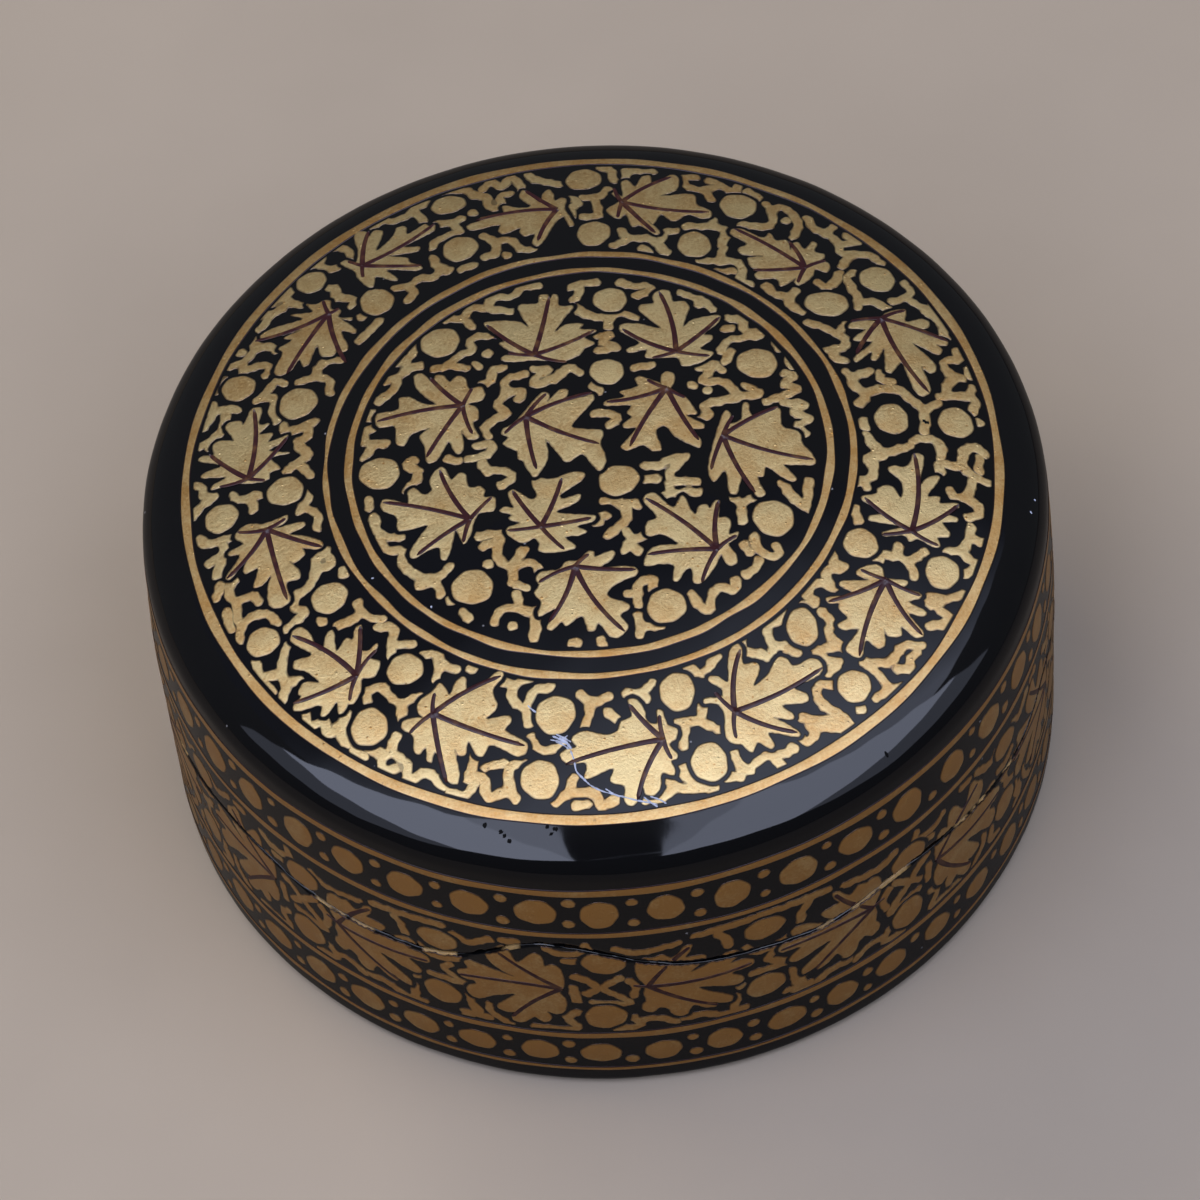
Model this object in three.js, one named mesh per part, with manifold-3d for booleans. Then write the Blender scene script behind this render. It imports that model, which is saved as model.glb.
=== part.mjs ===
// Round papier-mache box with a lift-off lid, in millimetres, +Z up.
// The origin is the centre of the underside, and the front of the box faces -Y.
// The box is moulded as one closed shell and then sawn in two by hand, so the lid and the base meet
// along one wavy cut. A strip of card glued inside the base stands above the cut and guides the lid.

import * as THREE from 'three';
import { mergeVertices } from 'three/addons/utils/BufferGeometryUtils.js';
import Module from 'manifold-3d';

const wasm = await Module();
wasm.setup();

// Outside of the moulded body
const HEIGHT = 35.3;
const CROWN = 3.5;
const CROWN_POWER = 2.5;
const OUTER_RADIUS = 38;
const NECK_INSET = 0.5;
const BELLY_HEIGHT = 15;
const SHOULDER_WIDTH = 3.4;
const SHOULDER_DROP = 3.2;
const SHOULDER_FULLNESS = 0.85;
const FOOT_ROUND = 1;

// A hand-made box is a little longer one way than the other
const OUT_OF_ROUND = 0.01;
const LONG_WAY = 100;

// Thickness of the pulp and the rounding of the inside corners
const WALL = 2.6;
const TOP = 2.5;
const FLOOR = 2.5;
const INSIDE_FILLET = 4;

// The saw cut: its level, its width, and the waves that the hand left in it
const CUT_LEVEL = 16.3;
const SAW_KERF = 0.3;
const HUMP = { at: -101.5, height: 4.4, left: 8.5, right: 12 };
const WAVES = [
  { at: -146, height: 1.3, spread: 10 },
  { at: -66, height: -1, spread: 7.5 },
  { at: -59, height: 0.8, spread: 14 },
  { at: -32, height: -1.2, spread: 10 },
  { at: -21, height: 0.9, spread: 5 },
  { at: 20, height: -0.5, spread: 22 },
  { at: 75, height: 0.6, spread: 26 },
  { at: 150, height: -0.55, spread: 24 },
];

// The collar: a strip glued in the base with a skived joint at the back
const COLLAR_THICK = 1.2;
const COLLAR_BELOW_CUT = 8;
const COLLAR_ABOVE_HUMP = 2.2;
const COLLAR_EDGE = 0.35;
const COLLAR_FIT = 0.3;
const JOINT_AT = 78;
const JOINT_GAP = 0.4;
const JOINT_SLANT = 35;

// Steps round the box and along its curves
const TURNS = 120;
const CROWN_STEPS = 6;
const SHOULDER_STEPS = 8;
const WALL_STEPS = 5;
const FILLET_STEPS = 5;
const FOOT_STEPS = 3;

const DEG = Math.PI / 180;
const QUARTER_ROUND = Math.SQRT1_2;
const wrap = (degrees) => ((((degrees + 180) % 360) + 360) % 360) - 180;
const bell = (x) => Math.exp(-x * x);

// How far out of round the body is in one direction
function roundness(degrees) {
  return 1 + OUT_OF_ROUND * Math.cos(2 * (degrees - LONG_WAY) * DEG);
}

// Height of the middle of the saw cut in one direction
function cutHeight(degrees) {
  const d = wrap(degrees - HUMP.at);
  let z = CUT_LEVEL + HUMP.height * bell(d / (d < 0 ? HUMP.left : HUMP.right));
  for (const w of WAVES) z += w.height * bell(wrap(degrees - w.at) / w.spread);
  return z;
}

// Radius of the outside wall: full at the belly, drawn in a little under the shoulder
function wallRadius(z) {
  const t = Math.max(0, (z - BELLY_HEIGHT) / (neckHeight - BELLY_HEIGHT));
  return OUTER_RADIUS - NECK_INSET * t * t;
}

const insideRadius = OUTER_RADIUS - WALL;
const neckRadius = OUTER_RADIUS - NECK_INSET;
const neckHeight = HEIGHT - CROWN - SHOULDER_DROP;
const topRadius = neckRadius - SHOULDER_WIDTH;

// Height and slope of the domed top, which falls away ever faster towards the shoulder
const domeHeight = (r) => HEIGHT - CROWN * (r / topRadius) ** CROWN_POWER;
const domeSlope = (r) => ((CROWN * CROWN_POWER) / topRadius) * (r / topRadius) ** (CROWN_POWER - 1);

// Points on the dome from the axis out to the given radius, ends included
function dome(radius, lowered) {
  const points = [];
  for (let i = 0; i <= CROWN_STEPS; i++) {
    const r = (radius * i) / CROWN_STEPS;
    points.push([r, domeHeight(r) - lowered]);
  }
  return points;
}

// Rounded corner from a start that falls at a slope to a vertical end; a full corner is squarer
function corner(steps, fullness, [r0, z0], slope, [r1, z1]) {
  const middle = [r1, z0 + Math.sign(z1 - z0) * slope * Math.abs(r1 - r0)];
  const points = [];
  for (let i = 0; i <= steps; i++) {
    const t = i / steps;
    const [a, b, c] = [(1 - t) * (1 - t), 2 * fullness * t * (1 - t), t * t];
    const sum = a + b + c;
    points.push([
      (a * r0 + b * middle[0] + c * r1) / sum,
      (a * z0 + b * middle[1] + c * z1) / sum,
    ]);
  }
  return points;
}

// Evenly spaced points on the outside wall, ends included
function outsideWall(zFrom, zTo) {
  const points = [];
  for (let i = 0; i <= WALL_STEPS; i++) {
    const z = zFrom + ((zTo - zFrom) * i) / WALL_STEPS;
    points.push([wallRadius(z), z]);
  }
  return points;
}

// Turns a profile of [radius, height] points about +Z and moves each point by warp(degrees, r, z)
function turned(profile, warp) {
  const lathe = new THREE.LatheGeometry(profile.map(([r, z]) => new THREE.Vector2(r, z)), TURNS);
  lathe.rotateX(90 * DEG);
  const p = lathe.attributes.position;
  for (let i = 0; i < p.count; i++) {
    const r = Math.hypot(p.getX(i), p.getY(i));
    const degrees = Math.atan2(p.getY(i), p.getX(i)) / DEG;
    const [r2, z2] = warp(degrees, r, p.getZ(i));
    const k = r > 1e-6 ? r2 / r : 0;
    p.setXYZ(i, p.getX(i) * k, p.getY(i) * k, z2);
  }
  return lathe;
}

// Closed solid of a turned geometry, ready for a cut
function solid(geometry) {
  const bare = geometry.clone();
  bare.deleteAttribute('normal');
  bare.deleteAttribute('uv');
  const merged = mergeVertices(bare, 1e-4);
  const index = merged.index.array;
  const kept = [];
  for (let i = 0; i < index.length; i += 3) {
    const [a, b, c] = [index[i], index[i + 1], index[i + 2]];
    if (a !== b && b !== c && c !== a) kept.push(a, b, c);
  }
  return new wasm.Manifold(new wasm.Mesh({
    numProp: 3,
    vertProperties: Float32Array.from(merged.attributes.position.array),
    triVerts: Uint32Array.from(kept),
  }));
}

function geometryOf(manifold) {
  const mesh = manifold.getMesh();
  const geometry = new THREE.BufferGeometry();
  geometry.setAttribute('position', new THREE.BufferAttribute(Float32Array.from(mesh.vertProperties), 3));
  geometry.setIndex(new THREE.BufferAttribute(Uint32Array.from(mesh.triVerts), 1));
  geometry.computeVertexNormals();
  return geometry;
}

// Stretches the wall of a shell so that its rim follows the cut; beyond the fixed height nothing moves
function followCut(fixedHeight, offset) {
  return (degrees, r, z) => {
    const share = (z - fixedHeight) / (CUT_LEVEL - fixedHeight);
    const moved = cutHeight(degrees) + offset - CUT_LEVEL;
    return [r * roundness(degrees), share > 0 ? z + moved * share : z];
  };
}

// Lid: domed top, rounded shoulder, wall down to the cut, then back up the inside
function lidGeometry() {
  const bend = insideRadius - INSIDE_FILLET;
  const ceiling = domeHeight(bend) - TOP;
  const fixed = Math.min(neckHeight, ceiling - INSIDE_FILLET);
  const inside = [
    ...dome(bend, TOP).slice(0, -1),
    ...corner(FILLET_STEPS, QUARTER_ROUND, [bend, ceiling], domeSlope(bend),
      [insideRadius, ceiling - INSIDE_FILLET]),
    [insideRadius, (fixed + CUT_LEVEL) / 2],
    [insideRadius, CUT_LEVEL],
  ];
  const shoulder = corner(SHOULDER_STEPS, SHOULDER_FULLNESS, [topRadius, HEIGHT - CROWN],
    domeSlope(topRadius), [neckRadius, neckHeight]);
  const outside = [
    ...outsideWall(CUT_LEVEL, fixed),
    ...(fixed < neckHeight ? [[neckRadius, neckHeight]] : []),
    ...shoulder.reverse().slice(1),
    ...dome(topRadius, 0).reverse().slice(1),
  ];
  return turned([...inside, ...outside], followCut(fixed, SAW_KERF / 2));
}

// Base: flat underside, small foot round, wall up to the cut, then down the inside to the floor
function baseGeometry() {
  const fixed = FLOOR + INSIDE_FILLET;
  const profile = [
    [0, 0],
    ...corner(FOOT_STEPS, QUARTER_ROUND, [OUTER_RADIUS - FOOT_ROUND, 0], 0,
      [OUTER_RADIUS, FOOT_ROUND]),
    ...outsideWall(fixed, CUT_LEVEL),
    [insideRadius, CUT_LEVEL],
    [insideRadius, (fixed + CUT_LEVEL) / 2],
    ...corner(FILLET_STEPS, QUARTER_ROUND, [insideRadius - INSIDE_FILLET, FLOOR], 0,
      [insideRadius, fixed]).reverse(),
    [0, FLOOR],
  ];
  return turned(profile, followCut(fixed, -SAW_KERF / 2));
}

// Collar: a ring with eased edges, opened at the back by the slanting joint of the strip's two ends
function collarGeometry() {
  const outer = insideRadius - COLLAR_FIT;
  const inner = outer - COLLAR_THICK;
  const low = CUT_LEVEL - COLLAR_BELOW_CUT;
  const high = CUT_LEVEL + HUMP.height + COLLAR_ABOVE_HUMP;
  const e = Math.min(COLLAR_EDGE, COLLAR_THICK / 3);
  const ring = turned([
    [inner, low], [outer, low], [outer, high - 2 * e], [outer - e, high - e / 3],
    [outer - 2 * e, high], [inner + e / 2, high], [inner, high - e], [inner, low],
  ], (degrees, r, z) => [r * roundness(degrees), z]);
  const tall = (high - low) * 2 + 20;
  const blade = new THREE.BoxGeometry(COLLAR_THICK * 6, JOINT_GAP, tall);
  blade.rotateX(JOINT_SLANT * DEG);
  blade.translate((outer + inner) / 2, 0, (high + low) / 2);
  blade.rotateZ(JOINT_AT * DEG);
  return geometryOf(solid(ring).subtract(solid(blade)));
}

const lacquer = { color: new THREE.Color(0.012, 0.012, 0.014), roughness: 0.16, metalness: 0 };
const card = { color: new THREE.Color(0.02, 0.018, 0.017), roughness: 0.45, metalness: 0 };

const group = new THREE.Group();
for (const [name, geometry, finish] of [
  ['lid_shell', lidGeometry(), lacquer],
  ['base_shell', baseGeometry(), lacquer],
  ['collar', collarGeometry(), card],
]) {
  const mesh = new THREE.Mesh(geometry, new THREE.MeshStandardMaterial(finish));
  mesh.name = name;
  group.add(mesh);
}

export default group;
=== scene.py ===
"""Round papier-mache box with gold chinar leaves on black lacquer, laid out as a Blender add-on.

The lid and the base are sawn apart along one wavy cut. All lengths inside the functions are
millimetres; meshes are written in metres.
"""
import math

import bmesh
import bpy
import numpy as np
from bpy.props import FloatProperty, FloatVectorProperty, IntProperty, PointerProperty
from mathutils import Matrix, Vector
from mathutils.geometry import delaunay_2d_cdt


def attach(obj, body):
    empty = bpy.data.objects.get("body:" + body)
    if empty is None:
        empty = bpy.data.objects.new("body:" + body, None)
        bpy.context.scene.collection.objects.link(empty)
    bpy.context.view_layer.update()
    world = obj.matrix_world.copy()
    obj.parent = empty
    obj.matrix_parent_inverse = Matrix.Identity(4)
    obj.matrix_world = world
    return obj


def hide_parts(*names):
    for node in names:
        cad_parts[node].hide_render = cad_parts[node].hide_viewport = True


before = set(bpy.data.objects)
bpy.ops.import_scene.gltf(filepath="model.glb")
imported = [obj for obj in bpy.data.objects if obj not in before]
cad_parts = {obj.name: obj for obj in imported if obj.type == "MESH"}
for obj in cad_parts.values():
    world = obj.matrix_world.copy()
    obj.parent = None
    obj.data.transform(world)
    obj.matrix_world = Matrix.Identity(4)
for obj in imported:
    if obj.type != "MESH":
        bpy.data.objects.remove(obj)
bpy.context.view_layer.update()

bl_info = {
    "name": "Chinar leaf papier-mache box",
    "version": (1, 0, 0),
    "blender": (4, 5, 0),
    "location": "View3D > Sidebar > Papier Box",
    "description": "Builds a round lacquered papier-mache box, painted with gold chinar leaves",
    "category": "Object",
}

MM = 0.001


# ---------------------------------------------------------------------------------------------
# Sizes and colours that a user would change
# ---------------------------------------------------------------------------------------------

def length(name, description, millimetres):
    """A length property whose default is given in millimetres."""
    return FloatProperty(name=name, description=description, default=millimetres * MM,
                         min=0.0, precision=5, unit="LENGTH")


def colour(name, description, value):
    """A colour property in linear light."""
    return FloatVectorProperty(name=name, description=description, default=value, size=3,
                               min=0.0, max=1.0, subtype="COLOR")


class BOX_PG_form(bpy.types.PropertyGroup):
    height: length("Height", "Height of the closed box at the middle of its lid", 35.3)
    crown: length("Crown", "Rise of the lid's middle over its outer gold ring", 3.5)
    outer_radius: length("Outer radius", "Radius of the wall at the belly", 38.0)
    neck_inset: length("Neck inset", "How much the wall draws in under the shoulder", 0.5)
    belly_height: length("Belly height", "Height at which the wall starts to draw in", 15.0)
    shoulder_width: length("Shoulder width", "Width of the lid's rounded shoulder", 3.4)
    shoulder_drop: length("Shoulder drop", "Height of the lid's rounded shoulder", 3.2)
    wall: length("Wall", "Thickness of the moulded wall", 2.6)
    top: length("Top", "Thickness of the lid's top", 2.5)
    floor: length("Floor", "Thickness of the base's floor", 2.5)
    inside_fillet: length("Inside fillet", "Rounding of the inside corners", 4.0)
    foot_round: length("Foot round", "Rounding of the lower edge", 1.0)
    cut_level: length("Cut level", "Mean height of the saw cut", 16.3)
    saw_kerf: length("Saw kerf", "Width of the saw cut", 0.3)
    skin: length("Skin", "Depth of the lacquer under the highest gold", 0.13)
    unevenness: length("Unevenness", "How much the hand-laid pulp swells and dips", 0.035)
    turns: IntProperty(name="Turns", description="Steps round the box", default=960, min=120)


class BOX_PG_pattern(bpy.types.PropertyGroup):
    relief: length("Relief", "Height of the gold paint over the lacquer", 0.05)
    outline: length("Outline", "Width of the dark line round each gold shape", 0.08)
    stroke: length("Stroke", "Half the width of a scroll stroke", 0.37)
    channel: length("Channel", "Least black channel between a scroll and a leaf", 0.4)
    vein: length("Vein", "Width of a leaf's vein at its root", 0.50)
    grid: length("Grid", "Fineness of the traced outlines", 0.06)


class BOX_PG_finish(bpy.types.PropertyGroup):
    lacquer: colour("Lacquer", "Black paint under the varnish", (0.0030, 0.0030, 0.0036))
    gold_light: colour("Light gold", "Gold paint where it lies thick", (0.95, 0.71, 0.315))
    # Dark gold also darkens the wall's shapes, whose low tone is painted shade
    gold_dark: colour("Dark gold", "Gold paint where it lies thin", (0.72, 0.37, 0.09))
    ink: colour("Ink", "Maroon ink of veins and outlines", (0.030, 0.0065, 0.0085))
    # The pulp's tan is also light enough to stand in for the glints along the seam: partly painted
    # highlight
    paper: colour("Paper", "Sawn pulp at the cut", (0.46, 0.29, 0.11))
    card: colour("Card", "Painted card of the collar", (0.010, 0.009, 0.009))


class BOX_PG_stage(bpy.types.PropertyGroup):
    floor_colour: colour("Floor", "Plain pale floor", (0.380, 0.318, 0.246))
    lamp_height: length("Lamp height", "Height of the lamps over the floor", 550.0)
    lamp_radiance: FloatProperty(name="Lamp radiance", description="Brightness of the lamps",
                                 default=3.1, min=0.0)
    fill_power: FloatProperty(name="Fill power", description="Power of the soft fill in watts",
                              default=10.0, min=0.0)
    focal: FloatProperty(name="Focal length", description="Lens of the camera in millimetres",
                         default=165.0, min=1.0)


# ---------------------------------------------------------------------------------------------
# Form of the body
# ---------------------------------------------------------------------------------------------

HUMP = dict(at=-101.5, height=4.4, left=8.5, right=12.0)
WAVES = [(-146, 1.3, 10), (-66, -1.0, 7.5), (-59, 0.8, 14), (-32, -1.2, 10), (-21, 0.9, 5),
         (20, -0.5, 22), (75, 0.6, 26), (150, -0.55, 24)]
OUT_OF_ROUND, LONG_WAY = 0.01, 100.0
CROWN_POWER = 2.5
SHOULDER_FULLNESS, QUARTER_ROUND = 0.85, math.sqrt(0.5)

# The collar in millimetres, and where its strip's ends meet, in degrees
COLLAR_FIT, COLLAR_THICK, COLLAR_BELOW_CUT, COLLAR_ABOVE_HUMP = 0.3, 1.2, 8.0, 2.2
JOINT_AT, JOINT_SLANT, JOINT_GAP = 78.0, 35.0, 0.4

# Paint and ink reach this far into the lacquer, so that none of their edges stands off it
PAINT_ROOT, INK_ROOT = -0.10, -0.06
# Veins stop this far from the middle of the saw cut
VEIN_STOP = 0.32

# Traced shapes: tolerance of the outlines, width of the bevel that raises the paint, spacing of
# the points inside, all in millimetres, and the least area in square millimetres
TOLERANCE, BEVEL, SPACING, LEAST_AREA = 0.012, 0.06, 1.6, 0.12


def wrapped(degrees):
    return (np.asarray(degrees, float) + 180.0) % 360.0 - 180.0


def roundness(degrees):
    """How far out of round the body is in one direction."""
    return 1 + OUT_OF_ROUND * np.cos(np.radians(2 * (np.asarray(degrees) - LONG_WAY)))


def corner(steps, fullness, start, slope, end):
    """Rounded corner from a start that falls at a slope to a vertical end."""
    (r0, z0), (r1, z1) = start, end
    middle = (r1, z0 + math.copysign(1, z1 - z0) * slope * abs(r1 - r0))
    points = []
    for i in range(steps + 1):
        t = i / steps
        a, b, c = (1 - t) ** 2, 2 * fullness * t * (1 - t), t * t
        total = a + b + c
        points.append(((a * r0 + b * middle[0] + c * r1) / total,
                       (a * z0 + b * middle[1] + c * z1) / total))
    return points


class Form:
    """Shape of the moulded body in millimetres, from the sizes in the panel."""

    def __init__(self, sizes):
        for key in ("height", "crown", "outer_radius", "neck_inset", "belly_height",
                    "shoulder_width", "shoulder_drop", "wall", "top", "floor",
                    "inside_fillet", "foot_round", "cut_level", "saw_kerf", "skin",
                    "unevenness"):
            setattr(self, key, getattr(sizes, key) / MM)
        self.turns = sizes.turns
        self.neck_radius = self.outer_radius - self.neck_inset
        self.neck_height = self.height - self.crown - self.shoulder_drop
        self.top_radius = self.neck_radius - self.shoulder_width
        self.inside_radius = self.outer_radius - self.wall
        bend = self.inside_radius - self.inside_fillet
        self.ceiling = float(self.dome(bend)) - self.top
        self.lid_fixed = min(self.neck_height, self.ceiling - self.inside_fillet)
        self.base_fixed = self.floor + self.inside_fillet
        edge = (self.top_radius, float(self.dome(self.top_radius)))
        self.shoulder = np.array(corner(24, SHOULDER_FULLNESS, edge,
                                        float(self.dome_slope(self.top_radius)),
                                        (self.neck_radius, self.neck_height)))

    def cut(self, degrees):
        """Height of the middle of the saw cut in one direction."""
        d = wrapped(np.asarray(degrees) - HUMP["at"])
        z = self.cut_level + HUMP["height"] * np.exp(
            -(d / np.where(d < 0, HUMP["left"], HUMP["right"])) ** 2)
        for at, height, spread in WAVES:
            z = z + height * np.exp(-(wrapped(degrees - np.float64(at)) / spread) ** 2)
        return z

    def dome(self, r):
        return self.height - self.crown * (np.asarray(r) / self.top_radius) ** CROWN_POWER

    def dome_slope(self, r):
        share = np.asarray(r) / self.top_radius
        return self.crown * CROWN_POWER / self.top_radius * share ** (CROWN_POWER - 1)

    def wall_radius(self, z):
        t = np.maximum(0, (z - self.belly_height) / (self.neck_height - self.belly_height))
        return self.outer_radius - self.neck_inset * t * t

    def swell(self, x, y, z):
        """Slow rise and fall of the hand-laid surface, the same for lacquer and gold."""
        s = (np.sin(0.31 * x + 0.9) * np.sin(0.27 * y + 0.35 * z + 2.1)
             + 0.6 * np.sin(0.62 * x - 0.51 * y + 0.4) * np.sin(0.55 * z + 0.23 * y)
             + 0.35 * np.sin(1.15 * x + 0.6 * z + 1.0) * np.sin(1.02 * y + 0.3))
        return self.unevenness * s / 1.6

    def on_top(self, x, y, lift):
        """Point on the lid's top or shoulder over plan position x, y, lifted off the lacquer."""
        reach = np.hypot(x, y) / roundness(np.degrees(np.arctan2(y, x)))
        r = np.minimum(reach, self.top_radius)
        across, down = self.shoulder.T
        past = reach > self.top_radius
        z = np.where(past, np.interp(reach, across, down), self.dome(r))
        falls = -np.diff(down) / np.diff(across)
        slope = np.where(past, np.interp(reach, across[1:], falls), self.dome_slope(r))
        steep = np.sqrt(1 + slope * slope)
        off = lift - self.skin + self.swell(x, y, z)
        away = np.maximum(np.hypot(x, y), 1e-6)
        return np.stack([x + x / away * slope / steep * off, y + y / away * slope / steep * off,
                         z + off / steep], -1)

    def on_wall(self, s, z, lift, lid):
        """Point on the wall at arc length s and height z, lifted off the lacquer."""
        degrees = np.degrees(s / self.outer_radius)
        moved = self.cut(degrees) - self.cut_level
        fixed = self.lid_fixed if lid else self.base_fixed
        span = self.cut_level - fixed
        plain = (z + moved * fixed / span) / (1 + moved / span)
        plain = np.where((z - fixed) * np.sign(span) > 0, plain, z)
        r = self.wall_radius(plain) * roundness(degrees)
        a = np.radians(degrees)
        x, y = r * np.cos(a), r * np.sin(a)
        off = lift - self.skin + self.swell(x, y, z)
        return np.stack([x + np.cos(a) * off, y + np.sin(a) * off, z], -1)


def add_piece(name, points, faces, material, body, values=None, replaces=None):
    """Makes one mesh piece from millimetre points and lets it ride on its body."""
    mesh = bpy.data.meshes.new(name)
    mesh.from_pydata((np.asarray(points) * MM).tolist(), [], faces)
    for key, data in (values or {}).items():
        layer = mesh.attributes.new(key, "FLOAT", "POINT")
        layer.data.foreach_set("value", np.asarray(data, np.float32))
    mesh.polygons.foreach_set("use_smooth", [True] * len(mesh.polygons))
    mesh.materials.append(material)
    mesh.update()
    piece = bpy.data.objects.new(name, mesh)
    bpy.context.scene.collection.objects.link(piece)
    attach(piece, body)
    if replaces:
        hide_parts(replaces)
    return piece


def ring_faces(rows, steps):
    """Quads round between rows of points; row r starts at r * steps."""
    faces = []
    for a in range(0, (rows - 1) * steps, steps):
        for i in range(steps):
            j = (i + 1) % steps
            faces.append((a + i, a + j, a + steps + j, a + steps + i))
    return faces


def inset(profile, depth):
    """Moves an outside profile inwards along its normals, with each point's normal."""
    p = np.asarray(profile, float)
    run = np.gradient(p, axis=0)
    run /= np.maximum(np.hypot(run[:, 0], run[:, 1]), 1e-9)[:, None]
    normal = np.stack([-run[:, 1], run[:, 0]], 1)
    if normal[len(p) // 2, 0] < 0:
        normal = -normal
    return p - normal * depth, normal


def chips(turns, radius, count, seed, weak=(), density=1.1):
    """Depth of the flakes broken off a rim, 0 to 1, with more where the rim is weak."""
    rng = np.random.default_rng(seed)
    at = np.arange(turns) / turns * 360.0 - 180.0
    depth = np.zeros(turns)
    places = list(rng.uniform(-180, 180, count))
    for start, end in weak:
        places += list(rng.uniform(start, end, int(abs(end - start) * density)))
    for place in places:
        wide = math.degrees(rng.uniform(0.3, 1.6) / radius)
        d = wrapped(at - place) / wide
        depth = np.maximum(depth, rng.uniform(0.2, 1.0) * np.clip(1 - d * d, 0, 1) ** 0.6)
    return np.clip(depth + rng.uniform(0, 0.12, turns), 0, 1)


def shell(form, name, outside, inside, lid, seed, weak, material):
    """One moulded half: outside and inside profiles in plan, joined by the sawn rim."""
    turns = form.turns
    at = np.arange(turns) / turns * 360.0 - 180.0
    a, round_ = np.radians(at), roundness(at)
    sign = 1.0 if lid else -1.0
    fixed = form.lid_fixed if lid else form.base_fixed
    moved = form.cut(at) + sign * form.saw_kerf / 2 - form.cut_level
    rows_r, rows_z, rows_cut = [], [], []

    def add(r, z, cut):
        rows_r.append(r * np.ones(turns))
        rows_z.append(z * np.ones(turns))
        rows_cut.append(cut * np.ones(turns))

    def follow(z):
        share = (z - fixed) / (form.cut_level - fixed)
        return z + moved * max(share, 0.0)

    profile, normal = inset(outside, form.skin)
    for k, ((r, z), (r_raw, z_raw)) in enumerate(zip(profile, outside)):
        flat = not lid and z_raw < 1e-6
        x, y, zz = r_raw * round_ * np.cos(a), r_raw * round_ * np.sin(a), follow(z_raw)
        off = 0.0 if flat else form.swell(x, y, zz)
        add(np.maximum(r, 0) * round_ + normal[k, 0] * off,
            (0.0 if flat else follow(z_raw) - normal[k, 1] * form.skin) + normal[k, 1] * off, 0.0)
    wall = rows_r.pop()
    rows_z.pop()
    rows_cut.pop()
    broken = chips(turns, form.outer_radius, 70, seed, weak)
    saw = 0.03 * np.sin(at * 3.7) * np.sin(at * 0.9 + seed) + 0.02 * np.sin(at * 11.3 + 1)
    back = sign * np.abs(saw)
    deep, tall = 0.06 + 0.24 * broken, 0.05 + 0.26 * broken
    low = form.cut_level + moved
    # Spots where chips bare the pulp on the outer rim; their tan also stands in for the seam's
    # glints, a painted highlight
    bare = np.clip((chips(turns, form.outer_radius, 16, seed + 5, weak, 0.4) - 0.4) / 0.2, 0, 1)
    for share_r, share_z, cut in ((0.0, 1.8, 0.0), (0.0, 1.08, 0.0), (0.10, 0.98, bare),
                                  (0.34, 0.50, bare), (0.68, 0.16, bare), (1.0, 0.0, bare)):
        add(wall - deep * share_r, low + sign * tall * share_z + back * (1 - share_z / 2), cut)
    inner = inside[0][0] * round_
    for share, cut in ((0.22, bare), (0.32, 1.0), (0.68, 1.0)):
        add(wall - deep + (inner - wall + deep) * share, low + back * (1.6 - share), cut)
    add(inner + 0.12, low + back, 1.0)
    add(inner, low + sign * 0.12 + back, 1.0)
    add(inner, low + sign * 0.2 + back, 0.0)
    for r, z in inside[1:]:
        add(r * round_, follow(z), 0.0)

    points = np.stack([np.array(rows_r) * np.cos(a), np.array(rows_r) * np.sin(a),
                       np.array(rows_z)], -1).reshape(-1, 3)
    cut = np.array(rows_cut).reshape(-1)
    faces = ring_faces(len(rows_r), turns)
    rows = len(rows_r)
    first, last = len(points), len(points) + 1
    points = np.vstack([points, [0, 0, rows_z[0][0]], [0, 0, rows_z[-1][0]]])
    cut = np.append(cut, [0, 0])
    for i in range(turns):
        j = (i + 1) % turns
        faces.append((first, j, i))
        faces.append((last, (rows - 1) * turns + i, (rows - 1) * turns + j))
    faces = [face[::-1] for face in faces]
    inner_side = np.repeat(np.arange(rows) > rows - len(inside) - 2, turns).astype(float)
    inner_side = np.append(inner_side, [0.0, 1.0])
    face_outwards(add_piece(name, points, faces, material, "lid" if lid else "base",
                            {"cut": cut, "inside": inner_side},
                            "lid_shell" if lid else "base_shell"))


def face_outwards(piece):
    """Turns all faces of a closed piece to look out of it."""
    mesh = bmesh.new()
    mesh.from_mesh(piece.data)
    if mesh.calc_volume(signed=True) < 0:
        bmesh.ops.reverse_faces(mesh, faces=mesh.faces)
        mesh.to_mesh(piece.data)
    mesh.free()


# ---------------------------------------------------------------------------------------------
# Painted shapes: each is a field of distances that is traced and laid on the surface
# ---------------------------------------------------------------------------------------------

def strokes_field(x, y, strokes, blend):
    """Distance to tapered strokes (x0, y0, x1, y1, r0, r1), soft only where branches meet."""
    branches, last = [], None
    for x0, y0, x1, y1, r0, r1 in strokes:
        dx, dy = x1 - x0, y1 - y0
        t = np.clip(((x - x0) * dx + (y - y0) * dy) / max(dx * dx + dy * dy, 1e-9), 0, 1)
        d = np.hypot(x - x0 - t * dx, y - y0 - t * dy) - (r0 + (r1 - r0) * t)
        if (x0, y0) == last:
            branches[-1] = np.minimum(branches[-1], d)
        else:
            branches.append(d)
        last = (x1, y1)
    field = branches[0]
    for d in branches[1:]:
        h = np.clip(0.5 + 0.5 * (field - d) / blend, 0, 1)
        field = field * (1 - h) + d * h - blend * h * (1 - h)
    return field


def outline_field(x, y, loop):
    """Distance to a closed outline, negative inside."""
    near = np.full(x.shape, 1e9)
    inside = np.zeros(x.shape, bool)
    for (x0, y0), (x1, y1) in zip(loop, np.roll(loop, -1, 0)):
        dx, dy = x1 - x0, y1 - y0
        t = np.clip(((x - x0) * dx + (y - y0) * dy) / max(dx * dx + dy * dy, 1e-12), 0, 1)
        near = np.minimum(near, (x - x0 - t * dx) ** 2 + (y - y0 - t * dy) ** 2)
        if dy:
            inside ^= ((y0 > y) != (y1 > y)) & (x < x0 + (y - y0) * dx / dy)
    return np.where(inside, -1.0, 1.0) * np.sqrt(near)


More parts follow.
